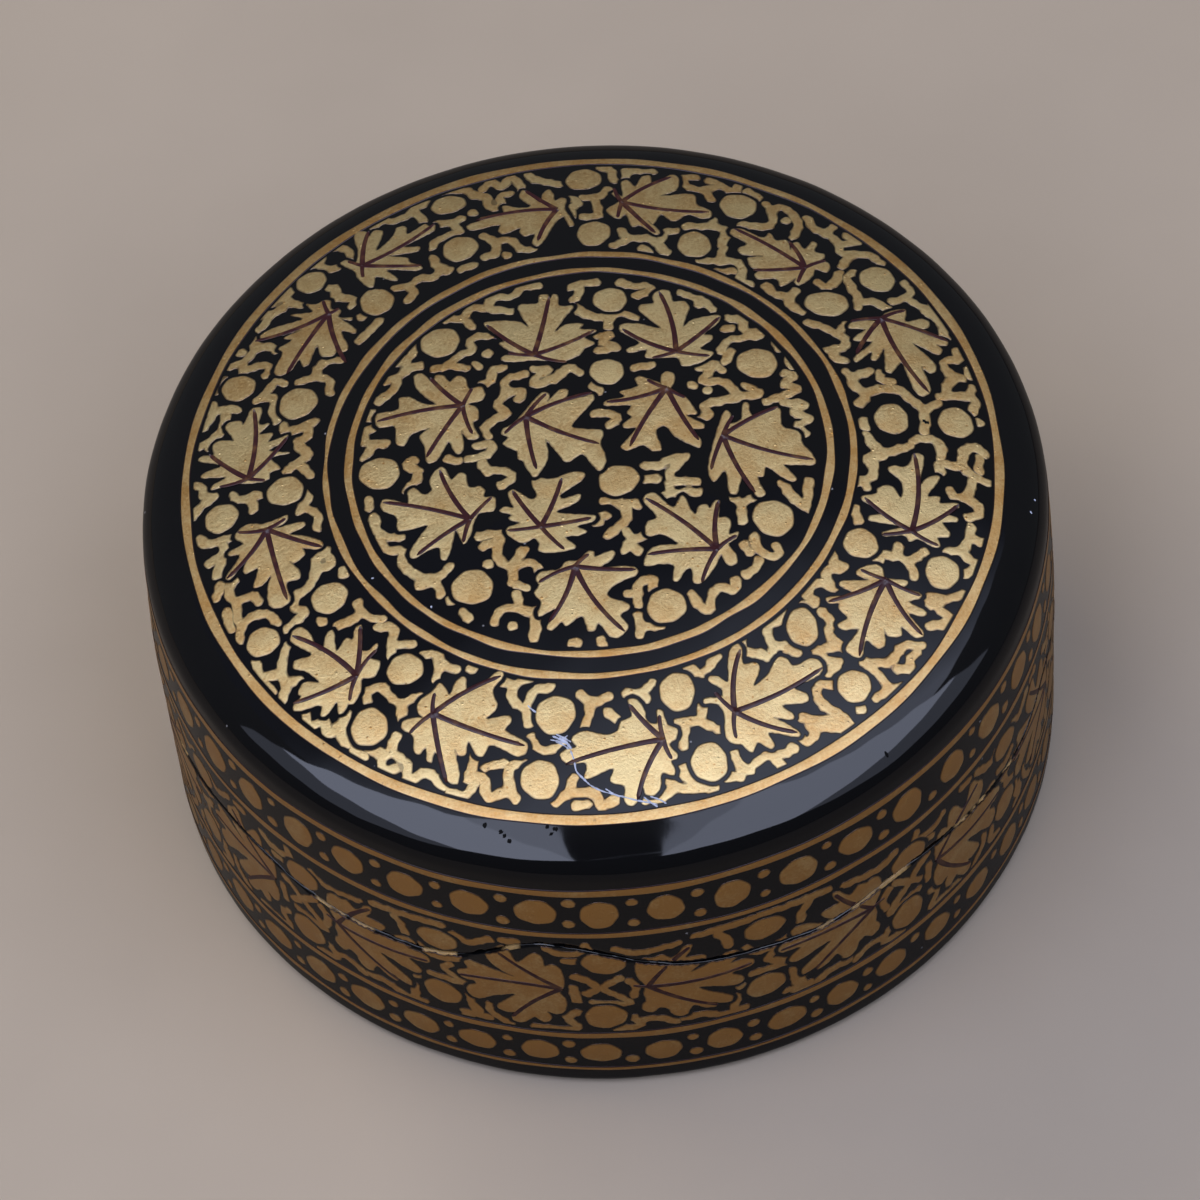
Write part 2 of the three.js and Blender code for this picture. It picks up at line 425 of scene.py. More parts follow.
def smooth_line(points, steps, closed=False):
    """Smooth line through given points."""
    p = np.asarray(points, float)
    if len(p) < 3:
        return p
    ends = (p[-1:], p[:2]) if closed else (2 * p[:1] - p[1:2], 2 * p[-1:] - p[-2:-1])
    p = np.vstack([ends[0], p, ends[1]])
    knots = np.concatenate([[0], np.cumsum(np.linalg.norm(np.diff(p, axis=0), axis=1) ** 0.5)])
    line = []
    for k in range(1, len(p) - 2):
        (a, b, c, d), (t0, t1, t2, t3) = p[k - 1:k + 3], knots[k - 1:k + 3]
        for t in t1 + (t2 - t1) * np.arange(steps) / steps:
            ab = ((t1 - t) * a + (t - t0) * b) / (t1 - t0)
            bc = ((t2 - t) * b + (t - t1) * c) / (t2 - t1)
            cd = ((t3 - t) * c + (t - t2) * d) / (t3 - t2)
            abc = ((t2 - t) * ab + (t - t0) * bc) / (t2 - t0)
            bcd = ((t3 - t) * bc + (t - t1) * cd) / (t3 - t1)
            line.append(((t2 - t) * abc + (t - t1) * bcd) / (t2 - t1))
    if not closed:
        line.append(p[-2])
    return np.array(line)


class Shape:
    """One painted shape: strokes, an oval or a closed outline, with the veins inked on it."""

    def __init__(self, strokes=(), oval=None, loop=None, veins=(), tone=0.5, phase=0.0):
        self.strokes, self.oval, self.loop = list(strokes), oval, loop
        self.veins, self.tone, self.phase = list(veins), tone, phase

    def bounds(self):
        if self.oval:
            cx, cy, rx, ry = self.oval[:4]
            return cx - rx, cy - ry, cx + rx, cy + ry
        if self.loop is not None:
            return (*self.loop.min(0), *self.loop.max(0))
        s = np.array(self.strokes)
        r = np.maximum(s[:, 4], s[:, 5])
        return ((np.minimum(s[:, 0], s[:, 2]) - r).min(), (np.minimum(s[:, 1], s[:, 3]) - r).min(),
                (np.maximum(s[:, 0], s[:, 2]) + r).max(), (np.maximum(s[:, 1], s[:, 3]) + r).max())

    def field(self, x, y):
        if self.oval:
            cx, cy, rx, ry = self.oval[:4]
            a = np.arctan2((y - cy) / ry, (x - cx) / rx)
            lumps = (1 + 0.035 * np.sin(2 * a + self.phase)
                     + 0.03 * np.sin(3 * a + 2.3 * self.phase)
                     + 0.018 * np.sin(7 * a + 4 * self.phase))
            return (np.hypot((x - cx) / rx, (y - cy) / ry) - lumps) * min(rx, ry)
        if self.loop is not None:
            d = outline_field(x, y, self.loop)
        else:
            d = (strokes_field(x, y, self.strokes, 0.22)
                 + 0.07 * np.sin(4.9 * x + self.phase) * np.sin(4.4 * y + 2 * self.phase))
        p = self.phase
        return d + 0.02 * np.sin(3.6 * x + p) * np.sin(3.3 * y + 1.7 * p) \
            + 0.028 * np.sin(8.1 * x + 3 * p) * np.sin(7.3 * y + p)

    def moved(self, dx):
        """The same shape further along the wall."""
        step = np.array([dx, 0.0])
        return Shape([(a + dx, b, c + dx, d, e, f) for a, b, c, d, e, f in self.strokes],
                     self.oval and (self.oval[0] + dx, *self.oval[1:]),
                     None if self.loop is None else self.loop + step, (), self.tone, self.phase)


def outlines(field):
    """Closed loops, in grid steps, where a field crosses zero; the inside lies to the left."""
    inside = field < 0
    w = field.shape[1]
    a, b = inside[:-1, :-1], inside[:-1, 1:]
    c, d = inside[1:, 1:], inside[1:, :-1]
    code = a + 2 * b + 4 * c + 8 * d
    ways = {1: "BL", 2: "RB", 4: "TR", 8: "LT", 3: "RL", 6: "TB", 12: "LR", 9: "BT", 7: "TL",
            11: "RT", 13: "BR", 14: "LB", 5: "BLTR", 10: "RBLT"}
    starts, ends = [], []
    for value, way in ways.items():
        i, j = np.nonzero(code == value)
        if not len(i):
            continue
        edge = {"B": 2 * (i * w + j), "T": 2 * ((i + 1) * w + j),
                "L": 2 * (i * w + j) + 1, "R": 2 * (i * w + j + 1) + 1}
        for k in range(0, len(way), 2):
            starts.append(edge[way[k]])
            ends.append(edge[way[k + 1]])
    if not starts:
        return []
    starts, ends = np.concatenate(starts), np.concatenate(ends)
    order = np.argsort(starts)
    starts, ends = starts[order], ends[order]
    following = np.searchsorted(starts, ends).tolist()
    i, j = (starts // 2) // w, (starts // 2) % w
    upright = starts % 2
    f0 = field[i, j]
    f1 = field[i + upright, j + 1 - upright]
    t = f0 / (f0 - f1)
    xy = np.stack([j + t * (1 - upright), i + t * upright], 1)
    loops, seen = [], [False] * len(following)
    for first in range(len(following)):
        if seen[first]:
            continue
        loop, k = [], first
        while not seen[k]:
            seen[k] = True
            loop.append(k)
            k = following[k]
        if len(loop) > 5:
            loops.append(xy[loop])
    return loops


def thinned(loop, tolerance):
    """Leaves out the points of a closed loop that lie on straight runs."""
    n = len(loop)
    far = int(np.argmax(((loop - loop[0]) ** 2).sum(1)))
    keep, todo = {0, far}, [(0, far), (far, n)]
    while todo:
        a, b = todo.pop()
        if b - a < 2:
            continue
        p, q = loop[a], loop[b % n]
        run = q - p
        size = math.hypot(run[0], run[1])
        off = loop[a + 1:b] - p
        d = np.hypot(off[:, 0], off[:, 1]) if size < 1e-9 else \
            np.abs(run[0] * off[:, 1] - run[1] * off[:, 0]) / size
        k = int(np.argmax(d))
        if d[k] > tolerance:
            keep.add(a + 1 + k)
            todo += [(a, a + 1 + k), (a + 1 + k, b)]
    return loop[sorted(keep)]


def sampled(field, x, y):
    """Value of a grid field at points given in grid steps."""
    h, w = field.shape
    x, y = np.clip(x, 0, w - 1.001), np.clip(y, 0, h - 1.001)
    i, j = y.astype(int), x.astype(int)
    u, v = x - j, y - i
    return (field[i, j] * (1 - u) * (1 - v) + field[i, j + 1] * u * (1 - v)
            + field[i + 1, j] * (1 - u) * v + field[i + 1, j + 1] * u * v)


class Painter:
    """Collects traced shapes and lays them on the surface as one thin relief."""

    def __init__(self, pattern, place):
        self.outline, self.relief = pattern.outline / MM, pattern.relief / MM
        self.channel, self.step = pattern.channel / MM, pattern.grid / MM
        self.place = place
        self.points, self.faces, self.rim, self.tone = [], [], [], []
        self.count = 0

    def lay(self, shape, around=(), limit=None):
        """Traces one shape, kept clear of the shapes around it and within a limit."""
        x0, y0, x1, y1 = shape.bounds()
        m = self.outline + 4 * self.step
        x0, y0, x1, y1 = x0 - m, y0 - m, x1 + m, y1 + m
        w, h = int((x1 - x0) / self.step) + 2, int((y1 - y0) / self.step) + 2
        gx, gy = np.meshgrid(x0 + np.arange(w) * self.step, y0 + np.arange(h) * self.step)
        field = shape.field(gx, gy) - self.outline
        for other in around:
            ox0, oy0, ox1, oy1 = other.bounds()
            if ox0 > x1 + 1 or ox1 < x0 - 1 or oy0 > y1 + 1 or oy1 < y0 - 1:
                continue
            field = np.maximum(field, self.channel - self.outline - other.field(gx, gy))
        if limit is not None:
            field = np.maximum(field, limit(gx, gy))
        field[0], field[-1], field[:, 0], field[:, -1] = 1, 1, 1, 1
        rings = [thinned(loop, TOLERANCE / self.step) for loop in outlines(field)]
        rings = [ring for ring in rings
                 if len(ring) > 4 and abs(area(ring)) * self.step ** 2 > LEAST_AREA]
        if not rings:
            return
        points, edges, faces = [], [], []
        for ring in rings:
            base = len(points)
            points += ring.tolist()
            index = list(range(base, base + len(ring)))
            faces.append(index if area(ring) > 0 else index[::-1])
        hole = [area(ring) < 0 for ring in rings]
        for depth in (self.outline, self.outline + 0.07):
            for loop in outlines(field + depth):
                loop = thinned(loop, TOLERANCE / self.step)
                if len(loop) < 5:
                    continue
                base = len(points)
                points += loop.tolist()
                edges += [(base + k, base + (k + 1) % len(loop)) for k in range(len(loop))]
        gap = SPACING / self.step
        for gy_ in np.arange(gap / 2, h, gap):
            for gx_ in np.arange(gap / 2, w, gap):
                if sampled(field, np.array([gx_]), np.array([gy_]))[0] < -0.3:
                    points.append([gx_, gy_])
        out = delaunay_2d_cdt([Vector(p) for p in points], edges, faces, 1, 1e-5, True)
        xy = np.array([(v.x, v.y) for v in out[0]])
        triangles = [f for f, origin in zip(out[2], out[5])
                     if origin and not any(hole[k] for k in origin if k < len(hole))]
        depth = np.maximum(-sampled(field, xy[:, 0], xy[:, 1]), 0)
        lift = self.relief * (1 - np.exp(-depth / BEVEL))
        x, y = x0 + xy[:, 0] * self.step, y0 + xy[:, 1] * self.step
        n = len(xy)
        top = self.place(x, y, lift)
        under = self.place(x, y, np.full(n, PAINT_ROOT))
        self.points.append(np.vstack([top, under]))
        base = self.count
        self.faces += [tuple(base + k for k in f) for f in triangles]
        self.faces += [tuple(base + n + k for k in reversed(f)) for f in triangles]
        border = {}
        for f in triangles:
            for k in range(3):
                edge = (f[k], f[(k + 1) % 3])
                if (edge[1], edge[0]) in border:
                    del border[(edge[1], edge[0])]
                else:
                    border[edge] = True
        self.faces += [(base + q, base + p, base + n + p, base + n + q) for p, q in border]
        rim = np.clip(1 - (depth - self.outline * 0.75) / (self.outline * 0.5), 0, 1)
        self.rim += [rim, np.ones(n)]
        self.tone.append(np.full(2 * n, shape.tone))
        self.count += 2 * n

    def ribbon(self, line, half, tone, upright=False):
        """Lays a closed band along a line, half as wide to each side; upright on the wall."""
        run = np.roll(line, -1, 0) - np.roll(line, 1, 0)
        run /= np.maximum(np.hypot(run[:, 0], run[:, 1]), 1e-9)[:, None]
        side = np.array([0.0, -1.0]) if upright else np.stack([-run[:, 1], run[:, 0]], 1)
        n, edge = len(line), half + self.outline
        rows = [(edge, PAINT_ROOT / self.relief, 1), (edge, 0.0, 1), (half, 0.75, 1),
                (half - 0.03, 0.85, 0), (half - 0.12, 1.0, 0), (half * 0, 1.0, 0)]
        rows += [(-away, lift, rim) for away, lift, rim in rows[-2::-1]]
        for away, lift, rim in rows:
            at = line + side * away[:, None]
            self.points.append(self.place(at[:, 0], at[:, 1], np.full(n, lift * self.relief)))
            self.rim.append(np.full(n, float(rim)))
            self.tone.append(np.full(n, tone))
        for r in range(len(rows)):
            a, b = self.count + r * n, self.count + (r + 1) % len(rows) * n
            for i in range(n):
                j = (i + 1) % n
                self.faces.append((a + j, a + i, b + i, b + j))
        self.count += n * len(rows)

    def finish(self, name, material, body):
        add_piece(name, np.vstack(self.points), self.faces, material, body,
                  {"rim": np.concatenate(self.rim), "tone": np.concatenate(self.tone)})


def area(loop):
    x, y = loop[:, 0], loop[:, 1]
    return 0.5 * float(np.sum(x * np.roll(y, -1) - np.roll(x, -1) * y))


def curve(start, end, bow):
    """Smooth line between two complex places, bowed to one side by a share of its length."""
    t = np.linspace(0, 1, 14)
    dx, dy = end.real - start.real, end.imag - start.imag
    bulge = 4 * t * (1 - t) * bow
    return np.stack([start.real + dx * t - dy * bulge, start.imag + dy * t + dx * bulge], 1)


def leaf(rng, drawing, tone, hub=None, tip=None, flip=False):
    """A chinar leaf as it was drawn, or laid elsewhere with another hub and tip."""
    corner_at, veins, outline = drawing
    ends = [tuple(float(v) for v in spot.split(",")) for spot in veins.split()]
    loop = [tuple(float(v) for v in spot.split(",")) for spot in outline.split()]
    left, high, steps = corner_at
    loop = smooth_line([(left + x / steps, high - y / steps) for x, y in loop], 5, True)
    ends, loop = np.array(ends) @ (1, 1j), loop @ (1, 1j)
    if hub is not None:
        if flip:
            ends, loop = ends.conj(), loop.conj()
        root = ends[0]
        turn = (complex(*tip) - complex(*hub)) / (ends[1] - root)
        ends, loop = [(drawn - root) * turn + complex(*hub) for drawn in (ends, loop)]
    lines = []
    for k, end in enumerate(ends[1:]):
        bow = rng.uniform(0.015, 0.06) * (1 if k % 2 else -1)
        lines.append((curve(ends[0], end, bow), 1.0 if k < 3 else 0.85))
    loop = np.stack([loop.real, loop.imag], 1)
    return Shape(loop=loop, veins=lines, tone=tone, phase=rng.uniform(0, 6.28))


def oval(rng, x, y, rx, ry, tone):
    return Shape(oval=(x, y, rx, ry), tone=tone, phase=rng.uniform(0, 6.28))


def scroll(rng, lines, radius, tone):
    """A scroll made of one or more bent strokes, a little thicker at some bends."""
    strokes = []
    for line in lines:
        if len(line) == 1:
            size = radius * rng.uniform(0.95, 1.15)
            strokes.append((*line[0], line[0][0] + 0.05, line[0][1], size, size))
            continue
        spots = smooth_line(line, 4)
        at = np.linspace(0, len(line) - 1, len(spots))
        sizes = np.interp(at, np.arange(len(line)), radius * rng.uniform(0.86, 1.22, len(line)))
        for k in range(len(spots) - 1):
            strokes.append((*spots[k], *spots[k + 1], sizes[k], sizes[k + 1]))
    return Shape(strokes, tone=tone, phase=rng.uniform(0, 6.28))


# Leaves on the lid: the quarter they were read in; hub and ends of the veins in millimetres from
# the lid's middle; outline in 48ths of a millimetre from the quarter's upper left corner
NW, NE, SW, SE = (-36, 36, 48), (0, 36, 48), (-36, 0, 48), (0, 0, 48)
BORDER_LEAVES = [
    (NW, "-17.2,24.0 -10.9,27.8 -16.5,28.3 -12.25,22.8 -18.4,24.9 -17.2,22.5", """870,600
815,535 835,522 875,550 888,470 876,400 885,362 922,366 938,402 955,373 992,382 962,500
1035,425 1052,378 1085,380 1092,430 1165,386 1182,402 1207,400 1200,432 1075,505 1138,522
1130,542 1010,545 1088,580 1090,600 1142,645 1128,657 1000,628 1040,690 1028,698 955,655
940,710 925,712 880,640"""),
    (NW, "-20.3,18.9 -24.1,12.9 -26.6,17.5 -19.1,12.9 -20.7,20.6 -19.4,19.3", """765,795
762,745 740,738 702,752 667,738 690,790 600,782 650,818 520,838 475,862 480,885 640,880
568,907 600,925 545,962 560,985 522,1085 545,1107 590,1090 625,1040 640,1085 658,1078 700,985
715,1045 745,1057 768,1050 775,1000 800,1045 822,1035 800,930 855,955 858,938 800,860 842,880
845,868 790,850 803,812"""),
    (NW, "-27.8,2.5 -27.0,9.75 -30.9,6.0 -24.3,6.0 -30.2,2.35 -26.4,1.95", """330,1612
247,1618 250,1602 305,1575 207,1545 215,1530 290,1510 200,1455 210,1440 262,1445 258,1405
275,1385 318,1388 345,1400 315,1315 330,1300 378,1308 385,1330 425,1255 462,1260 450,1345
488,1352 445,1395 500,1405 482,1445 560,1433 545,1455 485,1490 562,1523 488,1528 522,1590
480,1600 475,1630 400,1632"""),
    (NW, "-0.5,27.6 -7.35,27.5 -3.0,30.6 -2.35,23.9", """1700,470 1615,610 1593,590 1605,535
1565,542 1547,518 1548,490 1480,512 1462,495 1470,455 1350,462 1335,438 1350,425 1392,412
1395,395 1488,392 1487,340 1560,368 1600,362 1560,300 1572,255 1600,275 1640,345 1655,290
1680,268 1695,300 1700,345 1728,330 1745,345 1735,400 1765,505 1750,515 1728,450"""),
    (NE, "5.0,27.8 12.2,25.8 9.4,30.7 7.5,23.5 4.5,29.7 4.5,25.8", """235,378 205,335 215,325
245,360 250,262 272,256 302,300 335,238 365,238 372,300 450,240 474,248 468,335 400,372
520,370 537,385 540,440 592,485 588,518 555,525 500,497 447,532 430,530 390,488 352,548
335,520 378,600 362,608 300,545 272,552 250,470 220,495 178,452 178,432 215,402"""),
    (NE, "19.5,18.4 14.1,23.5 15.2,18.3 18.5,21.6 21.3,19.2 18.75,16.6", """665,605 700,602
790,662 815,635 838,680 870,678 885,690 890,740 905,700 922,692 945,735 985,690 998,702
985,752 1022,768 1018,790 960,822 1030,815 1034,855 1018,872 975,852 965,890 905,942 888,928
895,905 832,947 818,905 742,897 735,872 760,848 725,830 716,780 775,772 690,750 683,722
720,695 660,628"""),
    (NE, "25.2,12.35 28.2,4.1 30.4,9.85 22.7,8.3 27.3,13.3 22.6,12.0", """1228,1108 1310,1085
1305,1150 1372,1135 1398,1150 1388,1182 1340,1195 1395,1228 1460,1258 1450,1278 1412,1275
1432,1300 1412,1328 1370,1300 1318,1268 1395,1385 1390,1420 1370,1425 1340,1395 1358,1480
1355,1530 1320,1546 1300,1520 1280,1440 1262,1372 1215,1428 1198,1420 1202,1300 1165,1358
1148,1358 1150,1318 1085,1368 1078,1350 1160,1262 1088,1252 1100,1232 1140,1195 1078,1185
1085,1162 1150,1145 1200,1150"""),
    (SW, "-26.5,-3.1 -25.2,-10.3 -30.0,-7.0 -22.1,-5.9 -28.9,-2.7 -24.9,-2.4", """345,122
380,103 412,108 440,118 505,108 540,100 532,128 485,152 600,148 606,165 545,192 600,215
668,262 668,280 645,288 592,270 598,300 555,330 535,318 575,380 570,408 520,415 528,500
505,517 470,520 448,500 445,430 460,368 425,402 392,405 412,322 362,332 355,320 368,272
298,342 284,332 345,242 300,228 305,212 360,192 328,150"""),
    (SW, "-20.1,-18.5 -25.0,-13.75 -25.3,-19.8 -19.5,-14.1 -18.3,-16.5 -20.8,-20.6", """532,640
560,630 588,652 625,745 640,752 662,680 685,672 695,765 735,718 757,728 775,680 797,672
786,778 812,790 850,765 852,778 822,822 855,845 830,905 785,905 772,960 742,1002 724,998
738,960 705,1028 685,1032 680,985 632,1032 615,1022 622,985 520,985 510,968 545,928 535,915
560,872 618,885 570,825 525,800 530,772 600,760 522,680"""),
    (SW, "-14.3,-23.0 -7.35,-26.9 -8.7,-20.6 -13.7,-29.0 -14.0,-21.25 -16.3,-24.4", """1048,1010
1078,980 1095,1000 1110,1036 1140,985 1165,968 1178,980 1176,1035 1250,1000 1310,965 1320,985
1275,1042 1285,1118 1240,1158 1328,1160 1335,1182 1308,1215 1385,1285 1378,1320 1348,1330
1245,1268 1215,1308 1195,1305 1165,1240 1148,1292 1128,1292 1112,1265 1120,1360 1110,1402
1088,1398 1068,1375 1055,1290 1035,1262 1018,1302 1004,1290 1004,1236 975,1260 958,1243
960,1180 922,1145 925,1118 985,1110 1010,1122 985,1085 992,1048"""),
    (SE, "3.5,-27.7 -4.3,-28.9 1.1,-24.4 1.0,-32.5 3.4,-25.6 4.0,-29.4", """115,1248 152,1262
158,1206 175,1210 188,1270 222,1292 215,1330 188,1350 215,1398 208,1412 188,1418 200,1460
190,1476 150,1462 135,1525 112,1545 82,1540 72,1498 45,1565 20,1580 0,1560 5,1500 -45,1475
-30,1425 -130,1455 -140,1450 -128,1392 -200,1385 -223,1348 -205,1330 -160,1322 -175,1290
-130,1262 -40,1288 0,1275 18,1240 60,1222 52,1155 75,1150 108,1198"""),
    (SE, "25.1,-10.0 26.2,-2.3 21.7,-6.7 29.2,-7.4 22.7,-10.3 27.1,-11.4", """1258,112
1290,118 1285,170 1260,265 1300,226 1342,220 1336,242 1288,315 1334,318 1330,346 1400,350
1402,364 1345,398 1390,418 1385,432 1330,440 1352,492 1345,506 1300,510 1308,546 1290,556
1225,515 1190,525 1180,500 1092,498 1095,484 1175,458 1048,425 1050,408 1112,395 1035,332
1030,315 1090,302 1098,278 1135,264 1155,272 1182,322 1195,252 1148,185 1165,170 1216,176
1240,150"""),
    (SE, "22.5,-14.6 19.6,-21.5 17.7,-16.5 24.8,-19.7 20.6,-13.6 25.1,-16.1", """1075,690
1160,708 1155,726 1130,730 1208,768 1200,784 1155,798 1218,845 1205,862 1150,852 1196,936
1188,952 1162,954 1116,908 1108,946 1058,946 1048,905 1042,988 1018,1000 975,962 948,1032
925,1034 893,1002 952,915 890,916 874,893 915,868 888,825 890,800 850,798 844,776 962,762
903,722 908,704 1012,700 972,672 975,654 1005,640 1032,631 1066,640 1076,668"""),
    (SE, "9.3,-25.8 16.6,-22.4 10.3,-20.4 14.0,-27.9 7.9,-24.0 9.2,-28.1", """445,1020 462,968
488,955 500,975 500,1042 545,1038 560,1055 530,1136 590,1090 622,1035 642,1022 665,1030
686,1062 760,1034 790,1048 796,1080 775,1108 678,1155 722,1180 730,1200 718,1216 628,1226
666,1268 662,1284 590,1272 650,1312 682,1346 670,1356 565,1334 580,1388 566,1398 520,1370
496,1406 480,1400 462,1374 428,1368 404,1338 406,1240 385,1200 335,1194 338,1176 405,1172
408,1140 363,1102 368,1085 400,1088 432,1112"""),
]
MEDALLION_LEAVES = [
    (NW, "-9.8,6.2 -16.9,5.85 -12.25,9.65 -13.1,1.3 -8.9,7.9 -9.2,3.1", """912,1460 922,1410
1005,1402 1012,1347 1050,1348 1100,1390 1155,1408 1105,1345 1078,1290 1080,1240 1108,1235
1148,1292 1162,1258 1188,1260 1215,1300 1245,1275 1275,1290 1290,1350 1335,1345 1348,1385
1335,1412 1280,1425 1312,1450 1312,1505 1290,1525 1308,1600 1270,1602 1245,1555 1245,1650
1222,1668 1190,1600 1165,1645 1128,1692 1103,1690 1095,1600 1080,1555 1120,1522 1045,1540
1015,1588 988,1575 985,1485 925,1478"""),
    (NW, "-3.6,10.7 -1.9,17.0 -7.25,14.65 1.5,12.7 -5.7,11.2 -1.0,9.55", """1555,1240
1440,1230 1425,1212 1445,1200 1500,1205 1450,1165 1425,1130 1445,1125 1375,1030 1372,1012
1440,1012 1515,1032 1542,1060 1513,940 1590,938 1600,898 1630,895 1640,920 1655,898 1672,908
1672,965 1728,975 1690,1030 1645,1105 1690,1072 1760,1078 1745,1100 1808,1118 1760,1150
1795,1185 1758,1205 1728,1240 1660,1262 1600,1248"""),
    (NW, "-4.75,4.2 0.95,0.6 0.8,6.0 -4.3,-1.3 -2.9,6.4 -6.6,2.7", """1485,1515 1560,1425
1585,1412 1600,1432 1590,1462 1640,1412 1668,1410 1672,1432 1650,1466 1728,1456 1769,1450
1770,1472 1740,1512 1675,1598 1728,1620 1792,1638 1778,1700 1792,1760 1790,1795 1765,1830
1735,1790 1705,1740 1640,1770 1612,1725 1568,1650 1572,1728 1545,1790 1510,1826 1490,1790
1470,1740 1455,1728 1455,1695 1440,1680 1402,1645 1425,1620 1400,1592 1408,1572 1440,1560"""),
    (NE, "8.0,9.55 7.2,16.4 3.85,12.55 11.9,13.0 6.0,9.1 10.7,8.8", """385,1300 290,1292
262,1278 270,1245 200,1250 192,1235 245,1205 172,1125 185,1100 250,1105 335,1140 300,1090
258,1022 270,1003 318,1000 320,955 345,935 385,937 397,1000 440,1003 457,1040 440,1085
425,1142 460,1110 520,1095 572,1095 568,1125 500,1190 532,1200 530,1220 480,1262 528,1290
515,1310 445,1345 405,1345"""),
    (NE, "6.9,5.7 3.4,0.0 1.9,4.85 9.0,0.0 5.4,6.8 8.3,4.55", """330,1450 300,1420 262,1398
228,1380 213,1392 220,1430 150,1450 165,1475 90,1490 80,1508 185,1525 168,1560 185,1582
148,1615 150,1632 195,1640 150,1700 130,1728 150,1745 215,1725 250,1758 282,1755 270,1660
305,1640 345,1700 400,1745 430,1760 440,1728 412,1668 455,1668 460,1652 395,1598 435,1592
430,1572 395,1500 345,1468 362,1425 365,1385 345,1370 322,1378 312,1425"""),
    (SE, "11.0,0.3 18.0,-2.7 15.7,2.9 13.0,-5.7 12.0,2.25 9.7,-3.1", """500,-20 535,-115
552,-138 566,-125 560,-70 605,-90 622,-168 638,-168 648,-105 690,-108 742,-140 760,-128
762,-40 820,-10 832,55 862,100 868,150 795,150 748,148 765,175 788,222 770,228 735,205 678,152
662,195 640,200 660,285 630,292 612,230 585,185 552,270 530,270 518,155 470,205 455,150"""),
    (SW, "-10.0,-5.5 -16.9,-2.6 -12.1,-0.2 -14.5,-8.3 -8.1,-3.6 -10.7,-7.7", """915,115
942,114 1012,150 1018,92 1042,80 1078,118 1110,100 1105,52 1135,5 1160,-5 1190,62 1218,38
1242,42 1256,112 1295,112 1312,132 1310,165 1345,172 1352,200 1340,236 1285,240 1262,275
1245,335 1216,376 1205,345 1188,305 1172,362 1140,440 1124,430 1118,375 1060,388 1018,410
1004,388 1050,312 1082,266 1000,272 968,268 964,200 912,160"""),
    (SW, "-4.4,-7.1 -2.35,-2.5 -6.4,-3.2 -0.3,-6.8 -7.1,-7.1 -2.7,-9.6", """1405,158 1422,149
1490,205 1512,195 1500,118 1522,108 1580,118 1665,95 1706,110 1690,140 1600,202 1608,218
1680,208 1668,238 1582,278 1650,300 1728,318 1725,337 1655,358 1690,385 1660,400 1605,402
1642,452 1600,466 1545,466 1500,452 1505,418 1488,390 1445,406 1385,352 1388,328 1440,312
1398,285 1408,268 1365,242 1382,226 1420,236 1408,195"""),
    (SW, "-2.0,-11.35 1.4,-17.9 -4.5,-16.3 2.8,-12.2 -0.8,-10.3 -5.0,-12.5", """1600,518
1650,518 1690,480 1708,485 1712,508 1778,488 1790,500 1765,535 1728,560 1828,566 1866,582
1865,605 1775,645 1742,690 1820,740 1822,757 1785,785 1810,835 1795,862 1770,880 1740,875
1700,808 1678,842 1658,838 1640,770 1575,806 1562,785 1518,816 1503,808 1545,722 1478,750
1474,732 1492,690 1468,645 1490,610 1480,585 1495,555 1570,548"""),
    (SE, "9.4,-11.0 4.2,-5.4 10.0,-6.25 3.85,-10.9 11.1,-9.8 7.9,-14.0", """192,262 222,234
242,242 302,312 342,260 352,268 365,322 385,356 402,318 432,314 442,332 466,298 482,300
472,380 500,380 516,405 505,460 540,455 530,480 498,505 522,560 518,595 495,605 478,588
465,552 435,605 376,672 350,670 345,602 318,612 288,656 272,648 280,582 235,570 175,572
168,555 212,490 305,485 245,432 198,436 188,420 198,372 236,354"""),
]

# Ovals on the lid: middle and half-axes
BORDER_OVALS = [
    (-9.6, 30.1, 1.42, 1.15), (-8.9, 24.2, 1.45, 1.5), (-21.6, 23.2, 1.3, 1.2),
    (-16.2, 19.3, 1.4, 1.5), (-28.2, 12.5, 1.4, 1.35), (-23.3, 9.4, 1.55, 1.65),
    (-24.8, 0.4, 1.45, 1.45), (-30.2, -0.9, 1.35, 1.4), (2.0, 31.3, 1.45, 1.4),
    (2.35, 24.1, 1.4, 1.45), (14.7, 26.4, 1.5, 1.55), (10.6, 21.8, 1.4, 1.5),
    (25.4, 17.0, 1.4, 1.5), (20.9, 14.1, 1.75, 1.4), (24.8, 1.3, 1.4, 1.5),
    (30.0, 1.0, 1.45, 1.5), (-21.8, -10.9, 1.45, 1.4), (-27.4, -13.7, 1.3, 1.3),
    (-16.2, -18.7, 1.4, 1.4), (-19.4, -23.2, 1.4, 1.65), (-4.7, -24.6, 1.6, 1.6),
    (-6.4, -29.9, 1.45, 1.65), (20.9, -11.1, 1.4, 1.35), (27.1, -13.9, 1.35, 1.5),
    (15.4, -18.7, 1.25, 1.65), (5.0, -23.7, 1.4, 1.6), (18.9, -24.1, 1.35, 1.35),
    (6.9, -29.9, 1.45, 1.55),
]
MEDALLION_OVALS = [
    (-11.2, 13.4, 1.65, 1.5), (-17.0, 0.4, 1.6, 1.6), (3.1, 16.0, 1.35, 1.35),
    (2.2, 8.1, 1.35, 1.35), (14.5, 7.7, 1.6, 1.6), (-10.3, -12.1, 1.6, 1.65),
    (2.2, -3.3, 1.6, 1.5), (14.2, -8.3, 1.6, 1.75), (4.9, -15.9, 1.5, 1.6),
]
